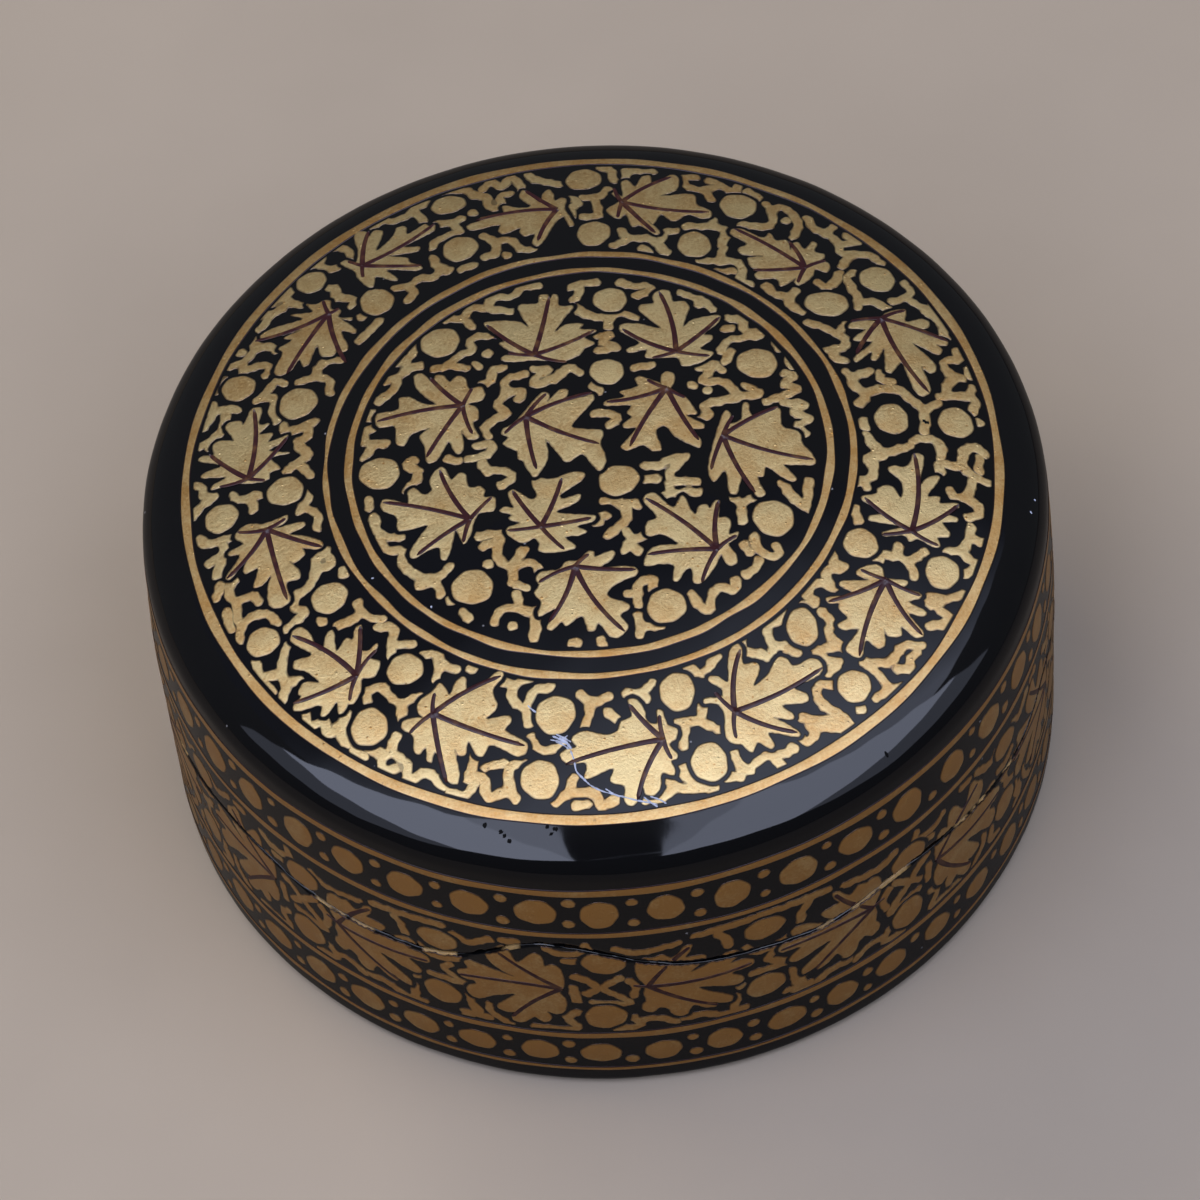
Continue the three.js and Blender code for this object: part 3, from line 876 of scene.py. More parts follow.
# Scrolls on the lid, read quarter by quarter in 48ths of a millimetre from the quarter's upper
# left corner. A bar parts scrolls, a stroke parts the branches of one scroll.
QUARTERS = {
    (-36, 36): """
955,345 990,322 1055,330 1110,300 1140,262 1185,258 / 1125,290 1160,355 | 1260,202 1345,205
1375,245 1425,272 1428,322 1450,342 1480,330 1482,275 1520,264 | 1410,215 1448,175 1490,212
1528,165 1560,205 1575,270 | 1600,155 1625,190 1690,225 1728,245 | 1363,357 | 1220,390
1270,402 1315,382 / 1272,405 1300,460 1245,480 1200,505 1190,535 | 1400,510 1438,550 1440,625
1400,635 / 1438,550 1510,560 1545,620 1595,625 | 1483,643 | 1188,600 1205,650 1245,685 /
1225,670 1180,715 1135,705 1085,740 1025,742 / 1085,745 1098,790 1075,822 | 1300,688 1350,675
| 645,545 668,515 728,512 748,455 790,432 838,455 862,510 / 728,512 745,548 800,560 | 760,670
790,680 785,725 860,770 848,798 | 525,695 580,665 600,640 / 580,665 600,705 640,735 / 600,705
545,745 485,750 / 520,750 500,790 475,825 | 885,870 | 870,1000 915,955 955,910 | 470,880
445,920 505,935 535,965 / 450,935 405,985 345,1000 / 405,990 395,1040 460,1030 505,1050
485,1090 | 393,935 | 290,1115 315,1065 | 560,1160 530,1138 500,1165 475,1200 445,1215 /
478,1212 515,1225 508,1290 520,1345 | 618,1165 680,1150 700,1110 735,1080 790,1090 / 690,1155
738,1190 738,1255 | 270,1185 265,1240 225,1300 / 262,1225 315,1225 360,1240 | 318,1255
300,1330 255,1370 240,1405 / 255,1370 208,1385 | 548,1375 555,1412 640,1400 672,1388 /
640,1405 640,1455 600,1480 625,1530 640,1555 590,1580 550,1610 / 595,1585 620,1620 640,1655 |
185,1580 208,1600 212,1635 248,1655 200,1690 165,1728 | 330,1670 345,1700 430,1700 / 400,1700
408,1765 | 1600,842 1535,838 1500,880 1410,882 1395,930 1480,965 | 1385,930 1325,922 1290,965
1225,965 / 1290,970 1322,1020 | 1415,1088 1345,1080 1308,1100 1312,1148 1262,1168 1215,1212
1160,1222 / 1215,1212 1285,1240 | 1372,1178 | 1325,1225 1335,1240 | 1080,1075 1080,1115
1045,1150 995,1155 / 1045,1155 1060,1190 1100,1192 / 1060,1195 1010,1235 965,1245 / 1005,1245
995,1290 930,1340 | 893,1395 893,1425 | 900,1475 862,1498 868,1545 940,1565 / 895,1570
860,1620 | 1185,1685 1225,1705 | 1050,1668 1022,1690 1065,1725 | 1300,1640 1358,1642 1335,1690
1258,1700 | 1428,1262 1390,1268 1375,1320 1345,1335 | 1510,1308 1450,1320 1430,1345 1430,1395
1395,1450 1420,1495 1370,1525 1335,1560 1345,1600 / 1430,1395 1495,1395 1480,1430 | 1550,1290
1600,1300 1560,1330 1545,1365 1620,1350 1690,1300 1728,1330""",
    (0, 36): """
170,160 205,175 218,250 | 275,195 380,212 / 275,195 265,240 | 42,345 62,375 30,410 38,455 |
85,345 150,345 190,305 / 132,350 140,420 140,462 80,465 | 495,262 552,262 / 500,265 510,320
580,345 640,320 600,290 / 580,345 600,410 / 645,325 700,370 715,335 | 750,365 790,412 |
820,455 838,500 835,560 815,592 712,578 / 835,490 882,478 925,535 935,600 905,665 | 890,560 |
978,550 998,612 1040,640 1085,700 1090,760 1120,770 1085,840 / 1040,640 1075,600 / 1090,710
1160,690 1125,660 / 1120,770 1200,770 1245,820 | 490,570 590,572 600,540 / 590,575 640,610
618,690 | 525,775 595,785 622,715 / 600,788 672,800 685,865 668,915 712,925 | 585,848 650,850
| 445,592 400,600 375,650 | 225,570 238,625 185,655 / 240,622 335,632 390,715 | 300,685
318,708 | 1128,875 1100,900 1110,960 1130,1015 1122,1070 / 1130,1040 1190,1042 1242,1085 |
1070,880 1050,925 1010,955 982,930 | 775,945 800,985 855,1005 885,975 / 855,1008 862,1055
900,1088 | 918,1152 975,1180 1025,1210 1062,1165 / 1028,1215 1058,1255 1040,1290 980,1302 /
1010,1300 1005,1345 1045,1362 | 1325,930 1345,985 1320,1015 1262,1040 / 1325,1020 1370,1060
1420,1080 1430,1040 / 1395,1095 1440,1150 1452,1235 | 1490,1308 1488,1345 1430,1368 1445,1425
1495,1450 / 1480,1440 1435,1480 1415,1540 / 1390,1550 1480,1542 1528,1560 1512,1625 /
1528,1495 1510,1540 | 1524,1398 1526,1435 | 1530,1675 | 1040,1418 1060,1445 1128,1420 /
1060,1445 1062,1490 1105,1545 1075,1585 / 1105,1540 1150,1515 1240,1520 1270,1560 1300,1590
1322,1630 1312,1728 / 1330,1615 1385,1582 | 1170,1430 1175,1460 1210,1480 | 1078,1670
1082,1705 | 0,870 50,855 100,858 / 30,870 20,930 0,940 | 200,870 240,895 295,900 312,925
255,950 | 0,975 50,1028 110,1050 190,1040 240,1070 / 140,1055 130,1105 | 430,955 480,985
520,1010 550,1060 / 500,1000 495,1030 | 85,1150 130,1150 100,1185 150,1215 78,1228 | 215,1332
280,1328 | 605,1108 655,1130 668,1185 725,1195 / 720,1215 640,1222 590,1235 560,1285 |
585,1170 610,1165 | 595,1290 575,1335 | 780,1255 790,1285 | 822,1335 828,1380 | 470,1362
525,1348 555,1382 / 520,1360 500,1395 475,1432 560,1445 590,1490 615,1520 690,1515 640,1470 /
600,1530 500,1545 470,1560 480,1610 455,1610 | 430,1450 | 488,1480 | 800,1420 828,1435
790,1475 840,1500 790,1530 712,1558 | 780,1568 855,1582 812,1622 870,1652 820,1690 845,1728 |
50,1405 70,1440 | 42,1545 105,1558 125,1590 98,1608""",
    (-36, 0): """
600,0 625,35 590,90 / 600,75 655,120 655,190 | 190,118 215,150 308,145 / 275,150 280,215
222,242 / 275,220 248,310 | 262,360 240,410 | 312,355 290,395 320,450 385,440 405,475 /
322,455 318,510 330,560 325,630 / 335,560 380,535 440,540 470,585 | 280,490 290,570 | 680,305
695,370 645,385 605,455 550,490 545,540 580,565 510,625 / 640,385 640,340 680,305 | 742,410
742,430 | 645,622 | 862,100 862,140 | 790,570 795,610 765,640 705,655 / 795,610 840,650
880,660 | 1060,0 1060,30 1012,85 | 878,190 885,255 925,290 970,300 / 895,285 910,345 975,370
975,430 1040,500 1110,510 1155,470 / 1040,510 1030,540 1095,540 1110,595 | 1275,350 1365,355
1350,375 1290,400 / 1350,380 1342,465 1385,505 1440,440 / 1385,508 1470,505 1495,545 /
1400,515 1388,580 | 1300,487 | 1400,595 1440,615 | 1335,45 1395,50 1425,90 1380,120 / 1335,45
1312,0 | 1145,628 | 1402,640 1395,690 1330,705 1305,755 / 1400,700 1460,745 1450,840 /
1460,735 1500,700 | 1372,778 | 1590,885 1610,885 | 1705,885 1705,900 | 862,692 915,710 908,780
900,830 / 910,780 985,795 | 505,695 488,745 470,800 395,810 380,740 / 470,805 490,860 470,930
/ 490,858 540,858 | 408,845 435,885 | 560,990 565,1055 620,1050 / 625,1020 640,1105 685,1085
715,1040 / 690,1080 690,1140 715,1165 | 1025,845 1080,865 1065,965 / 1080,868 1105,910
1145,935 | 1203,940 | 800,1005 795,965 870,955 / 860,960 890,1010 925,1040 995,1020 / 925,1040
925,1105 | 728,1190 770,1230 | 895,1172 855,1235 795,1205 / 830,1230 840,1290 880,1305 /
870,1230 930,1300 925,1355 1000,1340 1055,1400 | 1180,1290 1175,1345 1145,1392 1205,1395
1222,1475 1300,1450 1310,1370 1370,1360 / 1300,1450 1325,1500 | 1220,1355 1290,1350 |
1078,1425 1130,1455 1178,1412 | 1300,1005 1350,1030 1420,1012 / 1350,1030 1350,1100 1390,1145
1400,1200 | 1490,1062 1430,1072 1398,1130 | 1405,1258 1425,1308 1475,1322 1540,1300 |
1600,1105 1640,1145 1710,1130 / 1640,1148 1625,1200 1605,1250 | 1700,1195 1728,1225 |
1470,1530 1520,1500 1545,1445 / 1520,1505 1620,1515 1640,1570 1690,1550 | 1545,1555 1590,1555
| 1190,688 1208,720""",
    (0, 0): """
212,98 260,108 310,80 370,75 / 345,100 305,150 310,190 / 310,185 405,200 / 300,195 295,240 /
275,250 340,245 405,250 | 210,167 250,168 | 35,250 85,255 115,300 120,345 45,415 / 125,330
135,270 170,285 | 10,350 20,320 45,325 | 112,400 135,440 190,432 / 135,445 100,490 / 120,460
150,500 | 540,290 565,315 620,295 / 565,320 562,405 | 600,482 605,530 640,570 682,570 680,530
/ 555,512 575,550 | 605,590 590,625 552,650 | 735,240 770,310 820,365 / 835,235 815,355 |
1085,15 1100,60 1140,105 1245,72 / 1135,120 1075,130 1085,165 / 1095,140 1085,220 1020,245 /
1040,240 1055,275 | 1262,50 1290,35 1345,45 1368,80 1358,130 | 1538,110 1500,72 1452,100
1435,165 1350,160 1352,195 / 1435,170 1480,220 1530,245 / 1475,230 1440,310 1390,320 1378,285
/ 1440,325 1475,360 1475,400 1435,412 | 1512,120 1502,190 | 1000,370 1005,430 | 885,568
890,615 925,640 862,655 848,700 775,715 / 850,705 875,730 / 785,715 775,760 800,795 755,800 |
1060,620 1075,585 1130,595 1145,550 / 1135,590 1180,615 1245,575 / 1180,618 1192,690 |
1438,455 1430,500 1465,525 / 1425,510 1395,560 1330,572 / 1390,565 1405,600 1440,632 1385,675
| 1368,765 1305,785 1240,780 1235,815 / 1275,800 1265,830 1300,865 1280,895 1225,905 | 672,812
655,860 612,885 615,960 660,975 / 545,885 520,900 505,985 560,1000 600,1020 620,980 | 822,835
850,880 835,930 855,965 885,1000 / 770,985 800,1000 850,985 / 785,1010 815,1045 855,1055
815,1095 | 675,990 705,1005 | 1180,990 1115,990 1050,1060 955,1055 / 1160,1020 1130,1050
1125,1085 1080,1090 / 960,1065 1010,1120 1030,1180 985,1205 / 1030,1180 1085,1165 | 820,1150
780,1145 762,1190 790,1240 850,1280 880,1330 / 700,1280 750,1290 850,1290 / 715,1290 735,1350
700,1375 680,1350 / 745,1320 850,1330 | 920,1253 | 292,1035 335,1072 402,1000 | 50,1125
100,1130 148,1092 / 100,1135 120,1155 | 330,1205 310,1260 230,1265 / 310,1265 380,1310 /
255,1285 240,1365 | 335,725 355,765 395,800 412,730 450,700 495,715 510,675 | 92,690 125,700
128,745 / 128,695 145,650 190,640 192,685 | 122,790 130,840 122,880 / 130,845 205,850 |
430,1412 440,1455 480,1480 / 445,1460 440,1500 390,1500 / 470,1475 540,1430 620,1420 650,1400
/ 580,1440 600,1475 | 170,1500 200,1525 340,1540 / 232,1450 238,1485 300,1520 / 78,1560
150,1555 190,1525""",
}
# Scrolls on the wall between two leaves whose stems meet, in 36ths of a millimetre
WALL_SCROLLS = """
515,540 548,560 575,600 545,630 | 642,552 592,600 640,650 665,685 556,676 | 505,598 512,668 |
668,565 690,600 678,650 | 492,458 520,458 | 440,395 480,420 560,405 552,375 | 640,400 700,425
820,405 | 868,385 930,378 1090,368 / 935,400 958,432 965,470 | 165,400 205,425 275,385 |
312,380 352,376 | 510,732 478,765 505,820 378,826 | 670,762 690,808 620,822 / 690,785 740,780
792,810 | 818,800 880,800 930,826 1000,820 / 976,748 968,812 | 245,742 252,785 302,828 |
200,765 212,805 168,828"""
WALL_GAPS = ["""
1100,570 1080,600 1125,640 / 1138,655 1032,652 | 1015,508 1040,540 1090,545 1140,525 |
1150,705 1160,770 1172,805 / 1130,808 1205,812 | 990,700""",
             """1020,602 1070,600 1115,570 / 1075,612 1087,655 1125,668 | 1040,685 | 1150,735
1142,770 1172,812 | 1030,520 1085,530 1120,510"""]


def read_scrolls(text, steps, corner_at):
    """Scrolls of a drawing as lists of branches in millimetres."""
    found = []
    for item in text.split("|"):
        lines = []
        for branch in item.split("/"):
            spots = [tuple(float(v) for v in spot.split(",")) for spot in branch.split()]
            lines.append([(corner_at[0] + x / steps, corner_at[1] - y / steps) for x, y in spots])
        found.append([line for line in lines if line])
    return [item for item in found if item]


# ---------------------------------------------------------------------------------------------
# Finishes
# ---------------------------------------------------------------------------------------------

def feed(tree, socket, value):
    """Links a socket to another one, or fills it with a value."""
    if isinstance(value, bpy.types.NodeSocket):
        tree.links.new(value, socket)
    else:
        socket.default_value = value


def add_node(tree, kind, inputs=None, **settings):
    """Adds a node, sets its options and feeds or fills its inputs."""
    made = tree.nodes.new("ShaderNode" + kind)
    for key, value in settings.items():
        setattr(made, key, value)
    for key, value in (inputs or {}).items():
        feed(tree, made.inputs[key], value)
    return made


def object_place(tree):
    """Place on the object, in metres."""
    return add_node(tree, "TexCoord").outputs["Object"]


def axes(tree, place):
    """X, Y and Z of a place."""
    return add_node(tree, "SeparateXYZ", {"Vector": place}).outputs


def noise(tree, place, scale, detail, roughness=0.5):
    return add_node(tree, "TexNoise", {"Vector": place, "Scale": scale, "Detail": detail,
                                       "Roughness": roughness}).outputs["Fac"]


def maths(tree, operation, *values):
    return add_node(tree, "Math", dict(enumerate(values)), operation=operation).outputs[0]


def ranged(tree, value, low, high, first=0.0, last=1.0):
    """Turns the range low to high into first to last, and holds at its ends."""
    return add_node(tree, "MapRange", {"Value": value, "From Min": low, "From Max": high,
                                       "To Min": first, "To Max": last}).outputs["Result"]


def specks(tree, place, scale, low, high):
    """Round specks, full within low and gone at high, and the colour that tells them apart."""
    cells = add_node(tree, "TexVoronoi", {"Vector": place, "Scale": scale}, feature="F1")
    tags = add_node(tree, "SeparateColor", {"Color": cells.outputs["Color"]}).outputs
    return ranged(tree, cells.outputs["Distance"], low, high, 1.0, 0.0), tags


def chosen_specks(tree, near, tag, least):
    """Only the specks whose tag is over the least value."""
    return maths(tree, "MULTIPLY", near, maths(tree, "GREATER_THAN", tag, least))


def bumped(tree, shader, height, strength, distance, normal=None):
    """Feeds a bump into the shader's normal; a second one may stand on the first."""
    inputs = {"Strength": strength, "Distance": distance, "Height": height}
    if normal is not None:
        inputs["Normal"] = normal
    made = add_node(tree, "Bump", inputs).outputs[0]
    feed(tree, shader.inputs["Normal"], made)
    return made


def new_group(name, inputs, outputs):
    """An empty shader node group with named inputs and outputs."""
    tree = bpy.data.node_groups.new(name, "ShaderNodeTree")
    for label, kind, default in inputs:
        socket = tree.interface.new_socket(name=label, in_out="INPUT", socket_type=kind)
        socket.default_value = default
    for label, kind in outputs:
        tree.interface.new_socket(name=label, in_out="OUTPUT", socket_type=kind)
    return tree, tree.nodes.new("NodeGroupInput"), tree.nodes.new("NodeGroupOutput")


def varnish_group():
    """Brushed varnish: its slow waves and fine pits as a height, with dust and scratches."""
    name = "hand_varnish"
    if name in bpy.data.node_groups:
        return bpy.data.node_groups[name]
    tree, given, out = new_group(name, [
        ("Wave Size", "NodeSocketFloat", 260.0), ("Fine Size", "NodeSocketFloat", 2600.0),
        ("Dust", "NodeSocketFloat", 0.5)],
        [("Height", "NodeSocketFloat"), ("Dust", "NodeSocketFloat"),
         ("Scratch", "NodeSocketFloat")])
    at = object_place(tree)
    wave = noise(tree, at, given.outputs["Wave Size"], 2.0, 0.45)
    fine = noise(tree, at, given.outputs["Fine Size"], 3.0, 0.6)
    feed(tree, out.inputs["Height"], maths(tree, "MULTIPLY_ADD", fine, 0.05, wave))
    near, tags = specks(tree, at, 520.0, 0.035, 0.07)
    dust = chosen_specks(tree, near, tags["Red"], 0.90)
    feed(tree, out.inputs["Dust"], maths(tree, "MULTIPLY", dust, given.outputs["Dust"]))
    turned = add_node(tree, "Mapping", {"Vector": at, "Rotation": (0.2, 0.1, 0.9),
                                        "Scale": (60.0, 2400.0, 2400.0)}).outputs[0]
    feed(tree, out.inputs["Scratch"], ranged(tree, noise(tree, turned, 1.0, 1.0), 0.72, 0.80))
    return tree


def gold_group():
    """Bronze-powder paint: thick and thin patches, raised grains and dark pinholes. A low tone
    darkens the whole shape, which on the wall is painted shade.
    """
    name = "gold_powder"
    if name in bpy.data.node_groups:
        return bpy.data.node_groups[name]
    tree, given, out = new_group(name, [
        ("Light", "NodeSocketColor", (0.7, 0.5, 0.25, 1)),
        ("Dark", "NodeSocketColor", (0.5, 0.3, 0.1, 1)), ("Tone", "NodeSocketFloat", 0.5)],
        [("Color", "NodeSocketColor"), ("Roughness", "NodeSocketFloat"),
         ("Height", "NodeSocketFloat")])
    at = object_place(tree)
    cloud, grain = noise(tree, at, 420.0, 4.0, 0.62), noise(tree, at, 4300.0, 3.0, 0.75)
    near, tags = specks(tree, at, 1300.0, 0.05, 0.16)
    raised = chosen_specks(tree, near, tags["Red"], 0.45)
    holes = chosen_specks(tree, near, tags["Green"], 0.72)
    thick = maths(tree, "ADD", maths(tree, "ADD", cloud, grain), given.outputs["Tone"])
    share = ranged(tree, maths(tree, "MULTIPLY_ADD", holes, -0.6, thick), 1.2, 1.8)
    feed(tree, out.inputs["Color"], mix_colour(tree, share, given.outputs["Dark"],
                                               given.outputs["Light"]))
    feed(tree, out.inputs["Roughness"], ranged(tree, grain, 0.3, 0.7, 0.38, 0.58))
    feed(tree, out.inputs["Height"], maths(tree, "MULTIPLY_ADD", raised, 0.9, grain))
    return tree


def paper_group():
    """Layered pulp and paper: fibres and the edges of the layers."""
    name = "layered_paper"
    if name in bpy.data.node_groups:
        return bpy.data.node_groups[name]
    tree, given, out = new_group(name, [("Paper", "NodeSocketColor", (0.4, 0.3, 0.2, 1))],
                                 [("Color", "NodeSocketColor"), ("Height", "NodeSocketFloat")])
    at = object_place(tree)
    x, y, _ = axes(tree, at)
    flat = add_node(tree, "CombineXYZ", {"X": x, "Y": y}).outputs[0]
    away = add_node(tree, "VectorMath", {0: flat}, operation="LENGTH").outputs["Value"]
    layers = maths(tree, "SINE", maths(tree, "MULTIPLY", away, 9000.0))
    height = maths(tree, "MULTIPLY_ADD", layers, 0.14, noise(tree, at, 1400.0, 5.0, 0.65))
    tinted = add_node(tree, "VectorMath", {
        0: given.outputs["Paper"], "Scale": ranged(tree, height, 0.25, 0.8, 0.35, 1.35)},
        operation="SCALE")
    feed(tree, out.inputs["Color"], tinted.outputs[0])
    feed(tree, out.inputs["Height"], height)
    return tree


def new_material(name):
    material = bpy.data.materials.new(name)
    material.use_nodes = True
    tree = material.node_tree
    return material, tree, tree.nodes["Principled BSDF"]


def attribute(tree, name):
    return add_node(tree, "Attribute", attribute_name=name).outputs["Fac"]


def mix(tree, kind, first_socket, share, first, second):
    made = add_node(tree, "Mix", data_type=kind)
    for index, value in ((0, share), (first_socket, first), (first_socket + 1, second)):
        feed(tree, made.inputs[index], value)
    return made


def mix_colour(tree, share, first, second):
    return mix(tree, "RGBA", 6, share, first, second).outputs[2]


def mix_value(tree, share, first, second):
    return mix(tree, "FLOAT", 2, share, first, second).outputs[0]


def opaque(value):
    return (*value, 1.0)


def lacquer_material(name, finish, dust):
    """Black paint under a glossy varnish, with bare sawn paper where the cut mask is 1; along the
    seam the bare paper's tan is also a painted highlight for the glints.
    """
    if name in bpy.data.materials:
        return bpy.data.materials[name]
    material, tree, shader = new_material(name)
    varnish = add_node(tree, "Group", {"Wave Size": 230.0, "Fine Size": 2400.0, "Dust": dust},
                       node_tree=varnish_group()).outputs
    paper = add_node(tree, "Group", {"Paper": opaque(finish.paper)},
                     node_tree=paper_group()).outputs
    cut = attribute(tree, "cut")
    dusty = mix_colour(tree, varnish["Dust"], opaque(finish.lacquer), (0.42, 0.42, 0.44, 1))
    feed(tree, shader.inputs["Base Color"], mix_colour(tree, cut, dusty, paper["Color"]))
    scuffed = mix_value(tree, varnish["Scratch"], 0.05, 0.14)
    inner = mix_value(tree, attribute(tree, "inside"), scuffed, 0.22)
    feed(tree, shader.inputs["Roughness"], mix_value(tree, cut, inner, 0.42))
    brushed = bumped(tree, shader, varnish["Height"], 0.35, 0.00002)
    bumped(tree, shader, paper["Height"], cut, 0.00012, brushed)
    return material


def gold_material(finish):
    """Gold powder paint with a dark ink line at its edge, under the varnish."""
    name = "gold_paint"
    if name in bpy.data.materials:
        return bpy.data.materials[name]
    material, tree, shader = new_material(name)
    gold = add_node(tree, "Group", {"Light": opaque(finish.gold_light),
                                    "Dark": opaque(finish.gold_dark),
                                    "Tone": attribute(tree, "tone")},
                    node_tree=gold_group()).outputs
    feed(tree, shader.inputs["Base Color"],
         mix_colour(tree, attribute(tree, "rim"), gold["Color"], opaque(finish.ink)))
    feed(tree, shader.inputs["Roughness"], gold["Roughness"])
    shader.inputs["Metallic"].default_value = 0.95
    shader.inputs["Coat Weight"].default_value = 0.9
    shader.inputs["Coat Roughness"].default_value = 0.3
    bumped(tree, shader, gold["Height"], 0.7, 0.00008)
    return material


def ink_material(finish):
    """Maroon ink, thinner where the brush ran dry."""
    name = "maroon_ink"
    if name in bpy.data.materials:
        return bpy.data.materials[name]
    material, tree, shader = new_material(name)
    share = ranged(tree, noise(tree, object_place(tree), 1100.0, 3.0), 0.5, 0.75, 0.0, 0.22)
    thin = [0.55 * a + 0.45 * b for a, b in zip(finish.ink, finish.gold_dark)]
    feed(tree, shader.inputs["Base Color"],
         mix_colour(tree, share, opaque(finish.ink), opaque(thin)))
    shader.inputs["Roughness"].default_value = 0.3
    return material


def worn_and_painted_reflection_material(name, shade):
    """A broken or rubbed spot of the varnish, uneven in colour; the pale blue given to the cracks
    is a painted reflection.
    """
    name = "worn_" + name
    if name in bpy.data.materials:
        return bpy.data.materials[name]
    material, tree, shader = new_material(name)
    patchy = noise(tree, object_place(tree), 2400.0, 2.0)
    feed(tree, shader.inputs["Base Color"],
         mix_colour(tree, patchy, opaque([c * 0.4 for c in shade]),
                    opaque([min(c * 1.5, 1.0) for c in shade])))
    shader.inputs["Roughness"].default_value = 0.8
    shader.inputs["Specular IOR Level"].default_value = 0.1
    return material


def card_material(finish):
    """Black painted card with brown paper rubbed bare along its edges."""
    name = "painted_card"
    if name in bpy.data.materials:
        return bpy.data.materials[name]
    material, tree, shader = new_material(name)
    varnish = add_node(tree, "Group", {"Wave Size": 300.0, "Fine Size": 3000.0, "Dust": 0.2},
                       node_tree=varnish_group()).outputs
    paper = add_node(tree, "Group", {"Paper": opaque(finish.paper)},
                     node_tree=paper_group()).outputs
    rubbed = maths(tree, "MULTIPLY", attribute(tree, "worn"), paper["Height"])
    share = ranged(tree, rubbed, 0.38, 0.55)
    feed(tree, shader.inputs["Base Color"],
         mix_colour(tree, share, opaque(finish.card), paper["Color"]))
    feed(tree, shader.inputs["Roughness"], mix_value(tree, share, 0.34, 0.7))
    bumped(tree, shader, varnish["Height"], 0.6, 0.00004)
    return material


# ---------------------------------------------------------------------------------------------
# Operators, one for each piece or group of like pieces
# ---------------------------------------------------------------------------------------------

class BOX_OT_mould_lid(bpy.types.Operator):
    """Moulds the domed lid with its rounded shoulder and sawn rim"""
    bl_idname = "papier_box.mould_lid"
    bl_label = "Mould lid"

    def execute(self, context):
        form = Form(context.scene.box_form)
        r = form.top_radius * np.linspace(0.02, 1, 30) ** 0.8
        outside = [(v, float(form.dome(v))) for v in r]
        outside += corner(18, SHOULDER_FULLNESS, outside[-1],
                          float(form.dome_slope(form.top_radius)),
                          (form.neck_radius, form.neck_height))[1:]
        outside += [(float(form.wall_radius(z)), z) for z in
                    np.linspace(form.neck_height, form.cut_level, 12)[1:]]
        bend = form.inside_radius - form.inside_fillet
        inside = [(form.inside_radius, z) for z in
                  np.linspace(form.cut_level, form.ceiling - form.inside_fillet, 5)]
        inside += corner(8, QUARTER_ROUND, (bend, form.ceiling), float(form.dome_slope(bend)),
                         (form.inside_radius, form.ceiling - form.inside_fillet))[::-1][1:]
        inside += [(v, float(form.dome(v)) - form.top) for v in np.linspace(bend, 0.5, 9)[1:]]
        shell(form, "lacquered_lid", outside, inside, True, 11,
              [(-118, -112), (-100, -93), (-60, -36), (40, 52), (150, 160)],
              lacquer_material("black_gloss_lid", context.scene.box_finish, 0.5))
        return {"FINISHED"}


class BOX_OT_mould_base(bpy.types.Operator):
    """Moulds the base with its small foot round, sawn rim and flat floor"""
    bl_idname = "papier_box.mould_base"
    bl_label = "Mould base"

    def execute(self, context):
        form = Form(context.scene.box_form)
        foot_radius = form.outer_radius - form.foot_round
        bend = form.inside_radius - form.inside_fillet
        outside = [(v, 0.0) for v in np.linspace(0.5, foot_radius, 8)[:-1]]
        outside += corner(6, QUARTER_ROUND, (foot_radius, 0.0), 0.0,
                          (form.outer_radius, form.foot_round))
        outside += [(form.outer_radius, z) for z in
                    np.linspace(form.foot_round, form.base_fixed, 4)[1:]]
        outside += [(float(form.wall_radius(z)), z) for z in
                    np.linspace(form.base_fixed, form.cut_level, 10)[1:]]
        inside = [(form.inside_radius, z) for z in
                  np.linspace(form.cut_level, form.base_fixed, 5)]
        inside += corner(8, QUARTER_ROUND, (bend, form.floor), 0.0,
                         (form.inside_radius, form.base_fixed))[::-1][1:]
        inside += [(v, form.floor) for v in np.linspace(bend, 0.5, 8)[1:]]
        shell(form, "lacquered_base", outside, inside, False, 23,
              [(-134, -119), (-117, -112), (-106, -100), (-76, -57), (-47, -33), (70, 84),
               (176, 180)],
              lacquer_material("black_gloss_base", context.scene.box_finish, 0.35))
        return {"FINISHED"}


